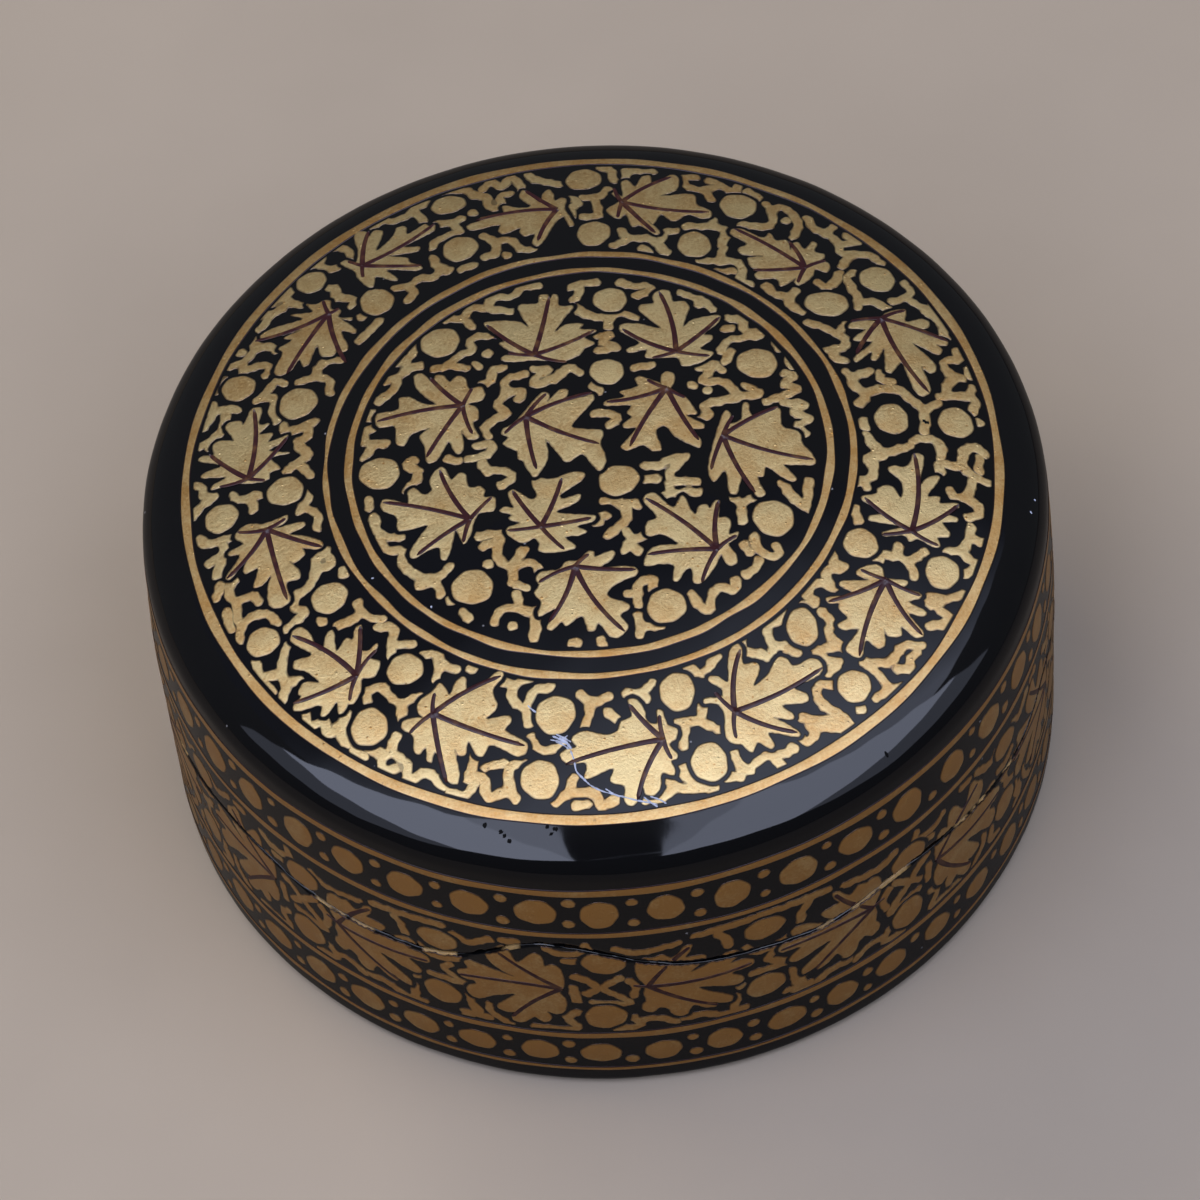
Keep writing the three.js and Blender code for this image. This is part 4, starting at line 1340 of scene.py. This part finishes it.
class BOX_OT_bend_collar(bpy.types.Operator):
    """Bends the card strip round the inside of the base, with its slanting joint at the back"""
    bl_idname = "papier_box.bend_collar"
    bl_label = "Bend collar"

    def execute(self, context):
        form = Form(context.scene.box_form)
        outer = form.inside_radius - COLLAR_FIT
        inner = outer - COLLAR_THICK
        low = form.cut_level - COLLAR_BELOW_CUT
        high = form.cut_level + HUMP["height"] + COLLAR_ABOVE_HUMP
        middle = (low + high) / 2
        loop = [(outer, low), *[(outer, z) for z in np.linspace(low, high - 0.7, 8)[1:]],
                (outer - 0.08, high - 0.36), (outer - 0.3, high - 0.12), (outer - 0.6, high),
                (inner + 0.25, high), (inner + 0.07, high - 0.1), (inner, high - 0.35),
                *[(inner, z) for z in np.linspace(high - 0.7, low, 8)]]
        turns, slant = 720, math.radians(JOINT_SLANT)
        t = np.linspace(0, 1, turns)
        rows, worn = [], []
        for r, z in loop:
            shift = -math.degrees((z - middle) * math.tan(slant) / r)
            gap = math.degrees(JOINT_GAP / 2 / math.cos(slant) / r)
            at = JOINT_AT + shift + gap + t * (360 - 2 * gap)
            wavy = 0.02 * np.sin(at * 0.21) + 0.012 * np.sin(at * 0.57 + z)
            a, r_ = np.radians(at), r * roundness(at) - np.abs(wavy)
            at_top = float(z > high - 0.5)
            dip = 0.03 * np.abs(np.sin(at * 0.33)) + 0.02 * np.abs(np.sin(at * 1.7))
            rows.append(np.stack([r_ * np.cos(a), r_ * np.sin(a), z - dip * at_top], -1))
            ends = np.exp(-t * 260) + np.exp(-(1 - t) * 260)
            worn.append(np.clip(at_top + ends, 0, 1))
        points = np.concatenate(rows)
        n = len(loop)
        faces = []
        for k in range(n):
            a, b = k * turns, ((k + 1) % n) * turns
            faces += [(a + i, a + i + 1, b + i + 1, b + i) for i in range(turns - 1)]
        faces.append(tuple(k * turns for k in range(n)))
        faces.append(tuple(k * turns + turns - 1 for k in reversed(range(n))))
        face_outwards(add_piece("card_collar", points, faces,
                                card_material(context.scene.box_finish), "base",
                                {"worn": np.concatenate(worn)}, "collar"))
        return {"FINISHED"}


def top_shapes():
    """Leaves and ovals of the lid's top, border first."""
    rng = np.random.default_rng(5)
    sets = []
    for leaves, ovals in ((BORDER_LEAVES, BORDER_OVALS), (MEDALLION_LEAVES, MEDALLION_OVALS)):
        shapes = [leaf(rng, drawing, rng.uniform(0.55, 0.75)) for drawing in leaves]
        shapes += [oval(rng, *values, tone=rng.uniform(0.56, 0.72)) for values in ovals]
        sets.append(shapes)
    return sets


class BOX_OT_paint_leaves(bpy.types.Operator):
    """Paints the gold leaves and ovals of the lid's border and medallion"""
    bl_idname = "papier_box.paint_leaves"
    bl_label = "Paint leaves"

    def execute(self, context):
        form, pattern = Form(context.scene.box_form), context.scene.box_pattern
        gold = gold_material(context.scene.box_finish)
        for name, shapes in zip(("gold_border", "gold_medallion"), top_shapes()):
            painter = Painter(pattern, form.on_top)
            for k, shape in enumerate(shapes):
                around = shapes[:k] if shape.oval else [s for s in shapes[:k] if not s.oval]
                painter.lay(shape, around)
            painter.finish(name, gold, "lid")
        return {"FINISHED"}


class BOX_OT_paint_scrolls(bpy.types.Operator):
    """Paints the small bent scrolls that fill the lid's ground"""
    bl_idname = "papier_box.paint_scrolls"
    bl_label = "Paint scrolls"

    def execute(self, context):
        form, pattern = Form(context.scene.box_form), context.scene.box_pattern
        gold = gold_material(context.scene.box_finish)
        rng = np.random.default_rng(17)
        border, medallion = top_shapes()
        around = border + medallion
        painter = Painter(pattern, form.on_top)

        def between_rings(x, y):
            r = np.hypot(x, y) / roundness(np.degrees(np.arctan2(y, x)))
            return np.minimum(np.maximum(r - 32.85, 22.1 - r), r - 18.95)

        for at, text in QUARTERS.items():
            for lines in read_scrolls(text, 48.0, at):
                dot = len(lines) == 1 and len(lines[0]) == 1
                size = 0.40 if dot else pattern.stroke / MM
                shape = scroll(rng, lines, size, rng.uniform(0.5, 0.72))
                painter.lay(shape, around, between_rings)
        painter.finish("gold_scrolls", gold, "lid")
        return {"FINISHED"}


# Radius or height of each drawn line and half its width, in millimetres
RINGS = ((33.5, 0.38), (21.55, 0.28), (19.65, 0.30))
LID_BANDS, BASE_BANDS = ((27.5, 0.36), (21.95, 0.30)), ((7.4, 0.34), (2.25, 0.20))


class BOX_OT_paint_lines(bpy.types.Operator):
    """Paints the gold rings of the top and the gold bands round the wall"""
    bl_idname = "papier_box.paint_lines"
    bl_label = "Paint lines"

    def execute(self, context):
        form, pattern = Form(context.scene.box_form), context.scene.box_pattern
        gold = gold_material(context.scene.box_finish)
        at = np.arange(900) / 900 * 2 * math.pi

        def wobble(seed, slow, fast):
            rng = np.random.default_rng(seed)
            value = np.zeros(len(at))
            for k in range(2, 34):
                size = slow / (1 + k * 0.18) if k < 9 else fast / (1 + k * 0.05)
                value += size * np.sin(k * at + rng.uniform(0, 6.28))
            return value

        painter = Painter(pattern, form.on_top)
        for k, (radius, half) in enumerate(RINGS):
            # The two inner rings were drawn rounder than the box
            share = 0.6 if radius < RINGS[0][0] else 1.0
            r = (radius + wobble(k, 0.03, 0.012)) * (1 + share * (roundness(np.degrees(at)) - 1))
            painter.ribbon(np.stack([r * np.cos(at), r * np.sin(at)], 1)[::-1],
                           half + wobble(k + 9, 0.03, 0.016), 0.4)
        painter.finish("gold_rings", gold, "lid")
        s = (at - math.pi) * form.outer_radius
        for name, lid, bands in (("gold_bands_lid", True, LID_BANDS),
                                 ("gold_bands_base", False, BASE_BANDS)):
            painter = Painter(pattern, lambda x, y, lift, lid=lid: form.on_wall(x, y, lift, lid))
            for k, (z, half) in enumerate(bands):
                line = np.stack([s, z + wobble(20 + k, 0.05, 0.01)], 1)
                # The wall bands' low tone darkens their gold: painted shade
                painter.ribbon(line, half + wobble(30 + k, 0.02, 0.015), 0.15, upright=True)
            painter.finish(name, gold, "lid" if lid else "base")
        return {"FINISHED"}


# Pairs of leaves round the wall, and the direction of the front one
PAIRS, PAIR_AT = 9, -94.8
# The front pair of the wall: millimetres from the middle of the pair and from the floor, and
# outlines and scrolls in 36.4ths of a millimetre from the upper left corner of their drawings
WALL_STEPS = 36.4
SIDE, SCROLLS_CORNER = (-16.35, 30.99, WALL_STEPS), (-594.8 / WALL_STEPS, 1128 / WALL_STEPS)
# Scrolls fill the wall between these heights
SCROLLS_LOW, SCROLLS_HIGH = 8.0, 21.35
WALL_LEAVES = [
    (SIDE, "-3.4,14.3 -11.8,14.2 -8.45,19.0 -7.7,9.4", """480,590 479,520 470,490 452,478
430,490 428,460 422,434 404,424 385,440 365,470 350,482 332,440 324,412 308,406 285,428
262,450 258,478 272,510 300,540 335,562 300,552 240,530 200,521 187,535 195,566 165,585
161,605 180,625 210,628 214,642 190,660 183,690 195,714 216,720 262,688 332,660 308,692
274,735 272,752 300,766 326,762 312,790 315,808 340,813 370,786 380,774 408,796 426,786
430,760 422,738 446,748 466,738 480,700 479,660 466,628"""),
    (SIDE, "3.5,14.35 11.95,14.7 7.05,19.1 8.9,10.0 2.35,14.7 3.6,14.2", """715,600 698,560
690,510 700,470 722,455 742,460 770,450 798,472 818,456 838,425 858,424 851,455 838,480
864,484 897,492 890,515 850,560 892,545 940,512 975,503 993,512 995,535 968,560 1010,562
1036,580 1030,604 1000,610 968,616 1000,650 1003,668 985,683 948,676 905,658 870,652 890,676
940,715 966,745 960,766 925,757 898,744 914,772 888,768 850,740 836,760 828,781 805,786
782,764 775,738 752,725 728,746 703,730 700,705 713,680 708,640"""),
]


def wall_shapes(form):
    """Leaves and ovals of the wall's middle band, and the two rows of ovals and dots. Their tone
    is lower than on the lid's top, so their gold is darker: painted shade for the wall.
    """
    rng = np.random.default_rng(41)
    per = form.outer_radius * math.pi / 180
    middle, rows = [], []
    for k in range(PAIRS):
        at = PAIR_AT + 360 / PAIRS * k
        shift = float(wrapped(at)) * per

        def stray(size):
            """Nothing at the front, which was read, and a little elsewhere."""
            return rng.uniform(-size, size) if k else 0.0

        for drawing in WALL_LEAVES:
            (hx, hz), (tx, tz) = [[float(v) for v in spot.split(",")]
                                  for spot in drawing[1].split()[:2]]
            way = -1 if k % 2 else 1
            hub = (shift + way * hx + stray(0.2), hz + stray(0.25))
            tip = (shift + way * tx + stray(0.25), tz + stray(0.6))
            middle.append(leaf(rng, drawing, rng.uniform(0.1, 0.3), hub, tip, way < 0))
        for aside, z, rx, ry in ((0.2, 18.15, 1.72, 1.5), (-0.1, 10.2, 1.68, 1.68),
                                 (13.2, 18.8, 1.68, 1.3), (13.0, 10.7, 1.6, 1.5)):
            middle.append(oval(rng, shift + aside, z + rng.uniform(-0.2, 0.2), rx, ry, 0.2))
    for z, count, rx, ry, start, up, down in ((24.8, 45, 1.55, 1.5, -94.2, 1.35, -1.3),
                                              (4.75, 47, 1.55, 1.32, -95.9, 1.1, -1.15)):
        for k in range(count):
            at = start + 360 / count * (k + rng.uniform(-0.04, 0.04))
            s = float(wrapped(at)) * per
            rows.append(oval(rng, s, z + rng.uniform(-0.12, 0.12), rx * rng.uniform(0.94, 1.06),
                             ry * rng.uniform(0.93, 1.07), tone=rng.uniform(0.1, 0.3)))
            half = 180 / count * per
            for dz in (up, down):
                if rng.random() < 0.94:
                    size = rng.uniform(0.36, 0.5)
                    rows.append(oval(rng, s + half + rng.uniform(-0.12, 0.12),
                                     z + dz + rng.uniform(-0.12, 0.12), size * 1.1, size, 0.2))
    return middle, rows


def wall_scrolls(form):
    rng = np.random.default_rng(43)
    per = form.outer_radius * math.pi / 180
    found = []
    for k in range(PAIRS):
        shift = float(wrapped(PAIR_AT + 360 / PAIRS * k)) * per
        for n, text in enumerate((WALL_SCROLLS, WALL_GAPS[k % 2])):
            for lines in read_scrolls(text, WALL_STEPS, SCROLLS_CORNER):
                dx, dz = rng.uniform(-0.12, 0.12, 2) * (k > 0)
                way = -1 if k % 2 and n == 0 else 1
                moved = [[(way * x + shift + dx, z + dz) for x, z in line] for line in lines]
                # The wall's scrolls get a low tone, which darkens their gold: painted shade
                found.append(scroll(rng, moved, 0.37, rng.uniform(0.1, 0.3)))
    return found


class BOX_OT_paint_wall(bpy.types.Operator):
    """Paints the leaves, ovals, dots and scrolls of the wall, parted by the saw cut"""
    bl_idname = "papier_box.paint_wall"
    bl_label = "Paint wall"

    def execute(self, context):
        form, pattern = Form(context.scene.box_form), context.scene.box_pattern
        gold = gold_material(context.scene.box_finish)
        middle, rows = wall_shapes(form)
        scrolls = wall_scrolls(form)
        for name, lid in (("gold_wall_lid", True), ("gold_wall_base", False)):
            painter = Painter(pattern, lambda x, y, lift, lid=lid: form.on_wall(x, y, lift, lid))
            sign = 1 if lid else -1

            def half_only(x, y):
                degrees = np.degrees(x / form.outer_radius)
                worn = 0.16 + 0.08 * np.sin(degrees * 2.3) * np.sin(degrees * 5.1)
                return sign * (form.cut(degrees) - y) + form.saw_kerf / 2 + worn

            def band_only(x, y):
                return np.maximum(half_only(x, y), np.maximum(y - SCROLLS_HIGH, SCROLLS_LOW - y))

            for k, shape in enumerate(middle):
                around = [s for s in middle[:k] if not s.oval]
                self.lay(painter, form, shape, around, half_only, lid)
            for shape in rows:
                if (shape.oval[1] > 15) == lid:
                    painter.lay(shape)
            for shape in scrolls:
                self.lay(painter, form, shape, middle, band_only, lid)
            painter.finish(name, gold, "lid" if lid else "base")
        return {"FINISHED"}

    @staticmethod
    def lay(painter, form, shape, around, limit, lid):
        """Lays a shape if any of it is on this half; neighbours are met across the back too."""
        x0, y0, x1, y1 = shape.bounds()
        s = np.linspace(x0, x1, 9)
        cut = form.cut(np.degrees(s / form.outer_radius))
        if (lid and y1 < cut.min()) or (not lid and y0 > cut.max()):
            return
        whole = 2 * math.pi * form.outer_radius
        near = []
        for other in around:
            left, _, right, _ = other.bounds()
            for turn in (-whole, 0.0, whole):
                if left + turn < x1 + 1 and right + turn > x0 - 1:
                    near.append(other.moved(turn) if turn else other)
        painter.lay(shape, near, limit)


def drawn_lines(strips, place, lifts):
    """Thin raised strokes along lines, each with its own half widths."""
    points, faces, count = [], [], 0
    low, shoulder_lift, crest = lifts
    for part, half in strips:
        n = len(part)
        run = np.gradient(part, axis=0)
        run /= np.maximum(np.hypot(run[:, 0], run[:, 1]), 1e-9)[:, None]
        side = np.stack([-run[:, 1], run[:, 0]], 1)
        for away, lift in ((1.0, low), (0.7, shoulder_lift), (0, crest), (-0.7, shoulder_lift),
                           (-1.0, low), (0, INK_ROOT)):
            at = part + side * (half * away)[:, None]
            points.append(place(at[:, 0], at[:, 1], np.full(n, lift)))
        for r in range(6):
            a, b = count + r * n, count + ((r + 1) % 6) * n
            faces += [(a + i + 1, a + i, b + i, b + i + 1) for i in range(n - 1)]
        faces.append(tuple(count + r * n for r in range(6)))
        faces.append(tuple(count + r * n + n - 1 for r in reversed(range(6))))
        count += 6 * n
    return np.vstack(points), faces


# Wear on the front of the lid: cracks and rubbed spots, whose pale blue is a painted reflection,
# then dark pits, in millimetres
CRACKS = """-3.8,-27.8 -3.6,-28.7 -3.5,-29.6 -3.0,-30.3 -2.5,-30.9 -1.6,-31.5 -0.6,-31.9
0.9,-32.5 2.5,-33.0|-6.8,-23.5 -6.5,-23.9 -6.2,-24.2|-5.0,-26.4 -4.6,-26.7 -4.2,-26.95
-4.0,-27.3 -3.7,-27.7|-4.7,-27.1 -4.2,-26.7 -3.9,-26.5|-0.8,-31.8 -0.5,-32.0 |35.0,-7.5
35.1,-7.7|35.5,-6.2 35.6,-6.3|-18.3,-9.8 -18.1,-9.8|-13.7,-13.3 -13.7,-13.5 |-5.3,-26.7
-4.7,-26.9 -4.0,-27.2|-5.1,-26.4 -4.5,-26.8 -3.8,-27.4|-4.9,-26.9 -4.3,-27.3 -3.9,-27.7
|-4.8,-26.3 -4.2,-26.7 -3.7,-27.1|-4.6,-26.6 -4.1,-27.0 -3.7,-27.6 |-1.4,-31.3 -0.8,-31.8
-0.3,-32.1|1.5,-32.3 2.1,-32.9 2.5,-33.2|2.0,-32.3 2.8,-32.7 3.2,-33.0"""
PITS = """-11.2,-32.9 -10.9,-33.0|-9.7,-33.9 -9.5,-34.1|-9.4,-34.4 -9.1,-34.5|-9.9,-33.5
-9.8,-33.8 |-6.3,-33.7 -6.1,-33.9|-5.8,-34.0 -5.4,-34.1|-6.0,-34.3 -5.9,-34.5|27.3,1.2
27.6,0.9 27.8,0.9 |20.7,-29.8 20.9,-29.7"""


class BOX_OT_mark_wear(bpy.types.Operator):
    """Marks the lid's hairline cracks, rubbed spots and pits; the pale blue of the cracks and
    spots is a painted reflection
    """
    bl_idname = "papier_box.mark_wear"
    bl_label = "Mark wear"

    def execute(self, context):
        form = Form(context.scene.box_form)
        rng = np.random.default_rng(7)
        for name, text, wide, shade, lifts in (
                # The cracks' pale blue colour is a painted reflection of the lamps in the crazed
                # varnish
                ("lid_cracks", CRACKS, 0.075, (0.42, 0.45, 0.55), (0.03, 0.058, 0.064)),
                ("lid_pits", PITS, 0.19, (0.004, 0.004, 0.004), (0.02, 0.05, 0.06))):
            strips = []
            for (line, *_) in read_scrolls(text, 1.0, (0, 0)):
                part = smooth_line([(x, -y) for x, y in line], 6)
                part = part if len(part) > 2 else np.linspace(part[0], part[-1], 5)
                half = wide * rng.uniform(0.5, 1.4, len(part))
                half[[0, -1]] *= 0.4
                strips.append((part, half))
            points, faces = drawn_lines(strips, form.on_top, lifts)
            add_piece(name, points, faces, worn_and_painted_reflection_material(name, shade), "lid")
        return {"FINISHED"}


class BOX_OT_ink_veins(bpy.types.Operator):
    """Inks the maroon veins over the gold leaves"""
    bl_idname = "papier_box.ink_veins"
    bl_label = "Ink veins"

    def execute(self, context):
        form, pattern = Form(context.scene.box_form), context.scene.box_pattern
        ink = ink_material(context.scene.box_finish)
        border, medallion = top_shapes()
        middle, _ = wall_shapes(form)
        wide = pattern.vein / MM / 2
        jobs = [("ink_lid_top", border + medallion, form.on_top, "lid", None),
                ("ink_lid_wall", middle, lambda x, y, l: form.on_wall(x, y, l, True), "lid", True),
                ("ink_base_wall", middle, lambda x, y, l: form.on_wall(x, y, l, False), "base",
                 False)]
        for name, shapes, place, body, lid in jobs:
            strips = []
            for shape in shapes:
                for line, size in shape.veins:
                    for part in self.parts(form, line, lid):
                        half = wide * size * (1 - 0.3 * np.linspace(0, 1, len(part)))
                        half[-1] *= 0.35
                        strips.append((part, half))
            points, faces = drawn_lines(strips, place, (0.044, 0.068, 0.074))
            add_piece(name, points, faces, ink, body)
        return {"FINISHED"}

    @staticmethod
    def parts(form, line, lid):
        """The stretches of a vein that lie on this half of the box."""
        if lid is None:
            return [line]
        fine = np.stack([np.interp(np.linspace(0, 1, 40), np.linspace(0, 1, len(line)), line[:, k])
                         for k in (0, 1)], 1)
        gap = fine[:, 1] - form.cut(np.degrees(fine[:, 0] / form.outer_radius))
        good = gap > VEIN_STOP if lid else gap < -VEIN_STOP
        parts, run = [], []
        for ok, point in zip(good, fine):
            if ok:
                run.append(point)
            elif run:
                parts.append(np.array(run))
                run = []
        if run:
            parts.append(np.array(run))
        return [part for part in parts if len(part) > 3]


# The lamps in shares of their height: name, left and right edge, share of the radiance. All reach
# from LAMP_NEAR to LAMP_FAR, and the inner ends of the two main ones slant.
LAMPS = (("lamp_left", -0.95, -0.269, 1.0), ("lamp_right", 0.160, 0.95, 0.84),
         ("lamp_far_left", -2.1, -0.95, 0.2), ("lamp_far_right", 0.95, 2.1, 0.2))
LAMP_NEAR, LAMP_FAR = -1.25, 0.06
LAMP_COLOUR = (0.87, 0.95, 1.24)
# The lamps' height is counted from the domed top, 35 mm over the floor
LAMP_LIFT = 0.035


class BOX_OT_set_stage(bpy.types.Operator):
    """Sets the pale floor, the soft lamps and the camera"""
    bl_idname = "papier_box.set_stage"
    bl_label = "Set stage"

    def execute(self, context):
        scene, stage = context.scene, context.scene.box_stage
        scene.view_settings.view_transform = "Standard"
        size = 3.0
        mesh = bpy.data.meshes.new("pale_floor")
        mesh.from_pydata([(-size, -size, 0), (size, -size, 0), (size, size, 0), (-size, size, 0)],
                         [], [(0, 1, 2, 3)])
        floor = bpy.data.objects.new("pale_floor", mesh)
        scene.collection.objects.link(floor)
        material, tree, shader = new_material("pale_floor")
        share = ranged(tree, noise(tree, object_place(tree), 28.0, 3.0), 0.3, 0.7)
        # The floor seen in the box's reflections is given a third of its colour: painted shade
        # that darkens what the box mirrors
        dark, light, painted_shade_in_mirror = [opaque([c * k for c in stage.floor_colour])
                                  for k in (0.96, 1.04, 0.34)]
        woven = mix_colour(tree, share, dark, light)
        mirrored = add_node(tree, "LightPath").outputs["Is Glossy Ray"]
        feed(tree, shader.inputs["Base Color"], mix_colour(tree, mirrored, woven, painted_shade_in_mirror))
        shader.inputs["Roughness"].default_value = 0.95
        shader.inputs["Specular IOR Level"].default_value = 0.1
        mesh.materials.append(material)

        high = stage.lamp_height
        for name, left, right, level in LAMPS:
            data = bpy.data.lights.new(name, "AREA")
            data.shape = "RECTANGLE"
            data.size, data.size_y = (right - left) * high, (LAMP_FAR - LAMP_NEAR) * high
            data.energy = level * stage.lamp_radiance * math.pi * data.size * data.size_y
            data.color = LAMP_COLOUR
            lamp = bpy.data.objects.new(name, data)
            lamp.location = ((left + right) / 2 * high, (LAMP_NEAR + LAMP_FAR) / 2 * high,
                             high + LAMP_LIFT)
            scene.collection.objects.link(lamp)

        self.glow(stage, high)

        data = bpy.data.lights.new("fill", "AREA")
        data.size, data.energy, data.color = 1.0, stage.fill_power, (1.1, 1.0, 0.86)
        fill_lamp = bpy.data.objects.new("fill", data)
        spot = Vector((-0.8, 0.7, 0.7))
        fill_lamp.matrix_world = (Matrix.Translation(spot)
                                  @ spot.to_track_quat("Z", "Y").to_matrix().to_4x4())
        fill_lamp.visible_glossy = False
        scene.collection.objects.link(fill_lamp)

        world = bpy.data.worlds.new("dim_room")
        scene.world = world
        world.use_nodes = True
        tree = world.node_tree
        room = tree.nodes["Background"]
        room.inputs["Color"].default_value = (0.95, 0.98, 1.0, 1)
        way = axes(tree, add_node(tree, "TexCoord").outputs["Generated"])
        feed(tree, room.inputs["Strength"], ranged(tree, way["Y"], -0.35, 0.45, 0.05, 0.11))
        pale = add_node(tree, "Background", {"Color": (0.60, 0.575, 0.555, 1), "Strength": 1.0})
        seen = add_node(tree, "LightPath").outputs["Is Camera Ray"]
        blend = add_node(tree, "MixShader", {0: seen, 1: room.outputs[0], 2: pale.outputs[0]})
        feed(tree, tree.nodes["World Output"].inputs["Surface"], blend.outputs[0])

        data = bpy.data.cameras.new("camera")
        data.lens, data.sensor_width = stage.focal, 36.0
        data.clip_start, data.clip_end = 0.01, 20
        camera = bpy.data.objects.new("camera", data)
        # The camera stands where the rims of the lid and of the foot look as they should
        right, up = Vector((0.9946, -0.0831, -0.0626)), Vector((0.1041, 0.7983, 0.5932))
        back = Vector((0.0007, -0.5965, 0.8026))
        turn = Matrix((right, up, back)).transposed().to_4x4()
        camera.matrix_world = Matrix.Translation((0.0, -0.2749, 0.3848)) @ turn
        scene.collection.objects.link(camera)
        scene.camera = camera
        return {"FINISHED"}

    @staticmethod
    def glow(stage, high):
        """Light over the lid: the lamps' slanting inner ends and a sheet that fades backwards."""
        (_, _, left, left_level), (_, right, _, right_level) = LAMPS[:2]
        corners = ((left, LAMP_NEAR), (-0.096, LAMP_FAR), (left, LAMP_FAR),
                   (right, LAMP_NEAR), (right, LAMP_FAR), (0.055, LAMP_FAR),
                   (-0.75, LAMP_FAR), (0.75, LAMP_FAR), (0.75, 0.7), (-0.75, 0.7))
        mesh = bpy.data.meshes.new("glow")
        mesh.from_pydata([(x * high, y * high, high + LAMP_LIFT) for x, y in corners], [],
                         [(2, 1, 0), (5, 4, 3), (9, 8, 7, 6)])
        panel = bpy.data.objects.new("glow", mesh)
        bpy.context.scene.collection.objects.link(panel)
        # An area lamp gives off a quarter of its power over its area
        full = stage.lamp_radiance * math.pi / 4
        for name, level in (("lamp_end_left", left_level), ("lamp_end_right", right_level),
                            ("faded", 0.5)):
            material = bpy.data.materials.new(name)
            material.use_nodes = True
            tree = material.node_tree
            tree.nodes.remove(tree.nodes["Principled BSDF"])
            light = add_node(tree, "Emission", {"Color": opaque(LAMP_COLOUR),
                                                "Strength": level * full})
            feed(tree, tree.nodes["Material Output"].inputs["Surface"], light.outputs[0])
            mesh.materials.append(material)
        x, y, _ = axes(tree, object_place(tree))
        back = maths(tree, "MULTIPLY_ADD", maths(tree, "MINIMUM", x, 0.25 * high), -0.5, y)
        share = ranged(tree, back, LAMP_FAR * high, (LAMP_FAR + 0.5) * high, 1.0, 0.0)
        faded = maths(tree, "POWER", share, 1.45)
        feed(tree, light.inputs["Strength"],
             maths(tree, "MULTIPLY_ADD", faded, level * full, 0.10))
        for index, face in enumerate(mesh.polygons):
            face.material_index = index


# ---------------------------------------------------------------------------------------------
# Panel and registration
# ---------------------------------------------------------------------------------------------

OPERATORS = (BOX_OT_mould_lid, BOX_OT_mould_base, BOX_OT_bend_collar, BOX_OT_paint_leaves,
             BOX_OT_paint_scrolls, BOX_OT_paint_lines, BOX_OT_paint_wall, BOX_OT_ink_veins,
             BOX_OT_mark_wear, BOX_OT_set_stage)


class BOX_PT_panel(bpy.types.Panel):
    """Lists the steps that build the box"""
    bl_idname = "BOX_PT_panel"
    bl_label = "Papier Box"
    bl_space_type = "VIEW_3D"
    bl_region_type = "UI"
    bl_category = "Papier Box"

    def draw(self, context):
        for operator in OPERATORS:
            self.layout.operator(operator.bl_idname)


GROUPS = {"box_form": BOX_PG_form, "box_pattern": BOX_PG_pattern, "box_finish": BOX_PG_finish,
          "box_stage": BOX_PG_stage}


def register():
    for group in GROUPS.values():
        bpy.utils.register_class(group)
    for name, group in GROUPS.items():
        setattr(bpy.types.Scene, name, PointerProperty(type=group))
    for operator in OPERATORS:
        bpy.utils.register_class(operator)
    bpy.utils.register_class(BOX_PT_panel)


def unregister():
    bpy.utils.unregister_class(BOX_PT_panel)
    for operator in reversed(OPERATORS):
        bpy.utils.unregister_class(operator)
    for name in GROUPS:
        delattr(bpy.types.Scene, name)
    for group in GROUPS.values():
        bpy.utils.unregister_class(group)


def main():
    register()
    for operator in OPERATORS:
        part, name = operator.bl_idname.split(".")
        getattr(getattr(bpy.ops, part), name)()


if __name__ == "__main__":
    main()
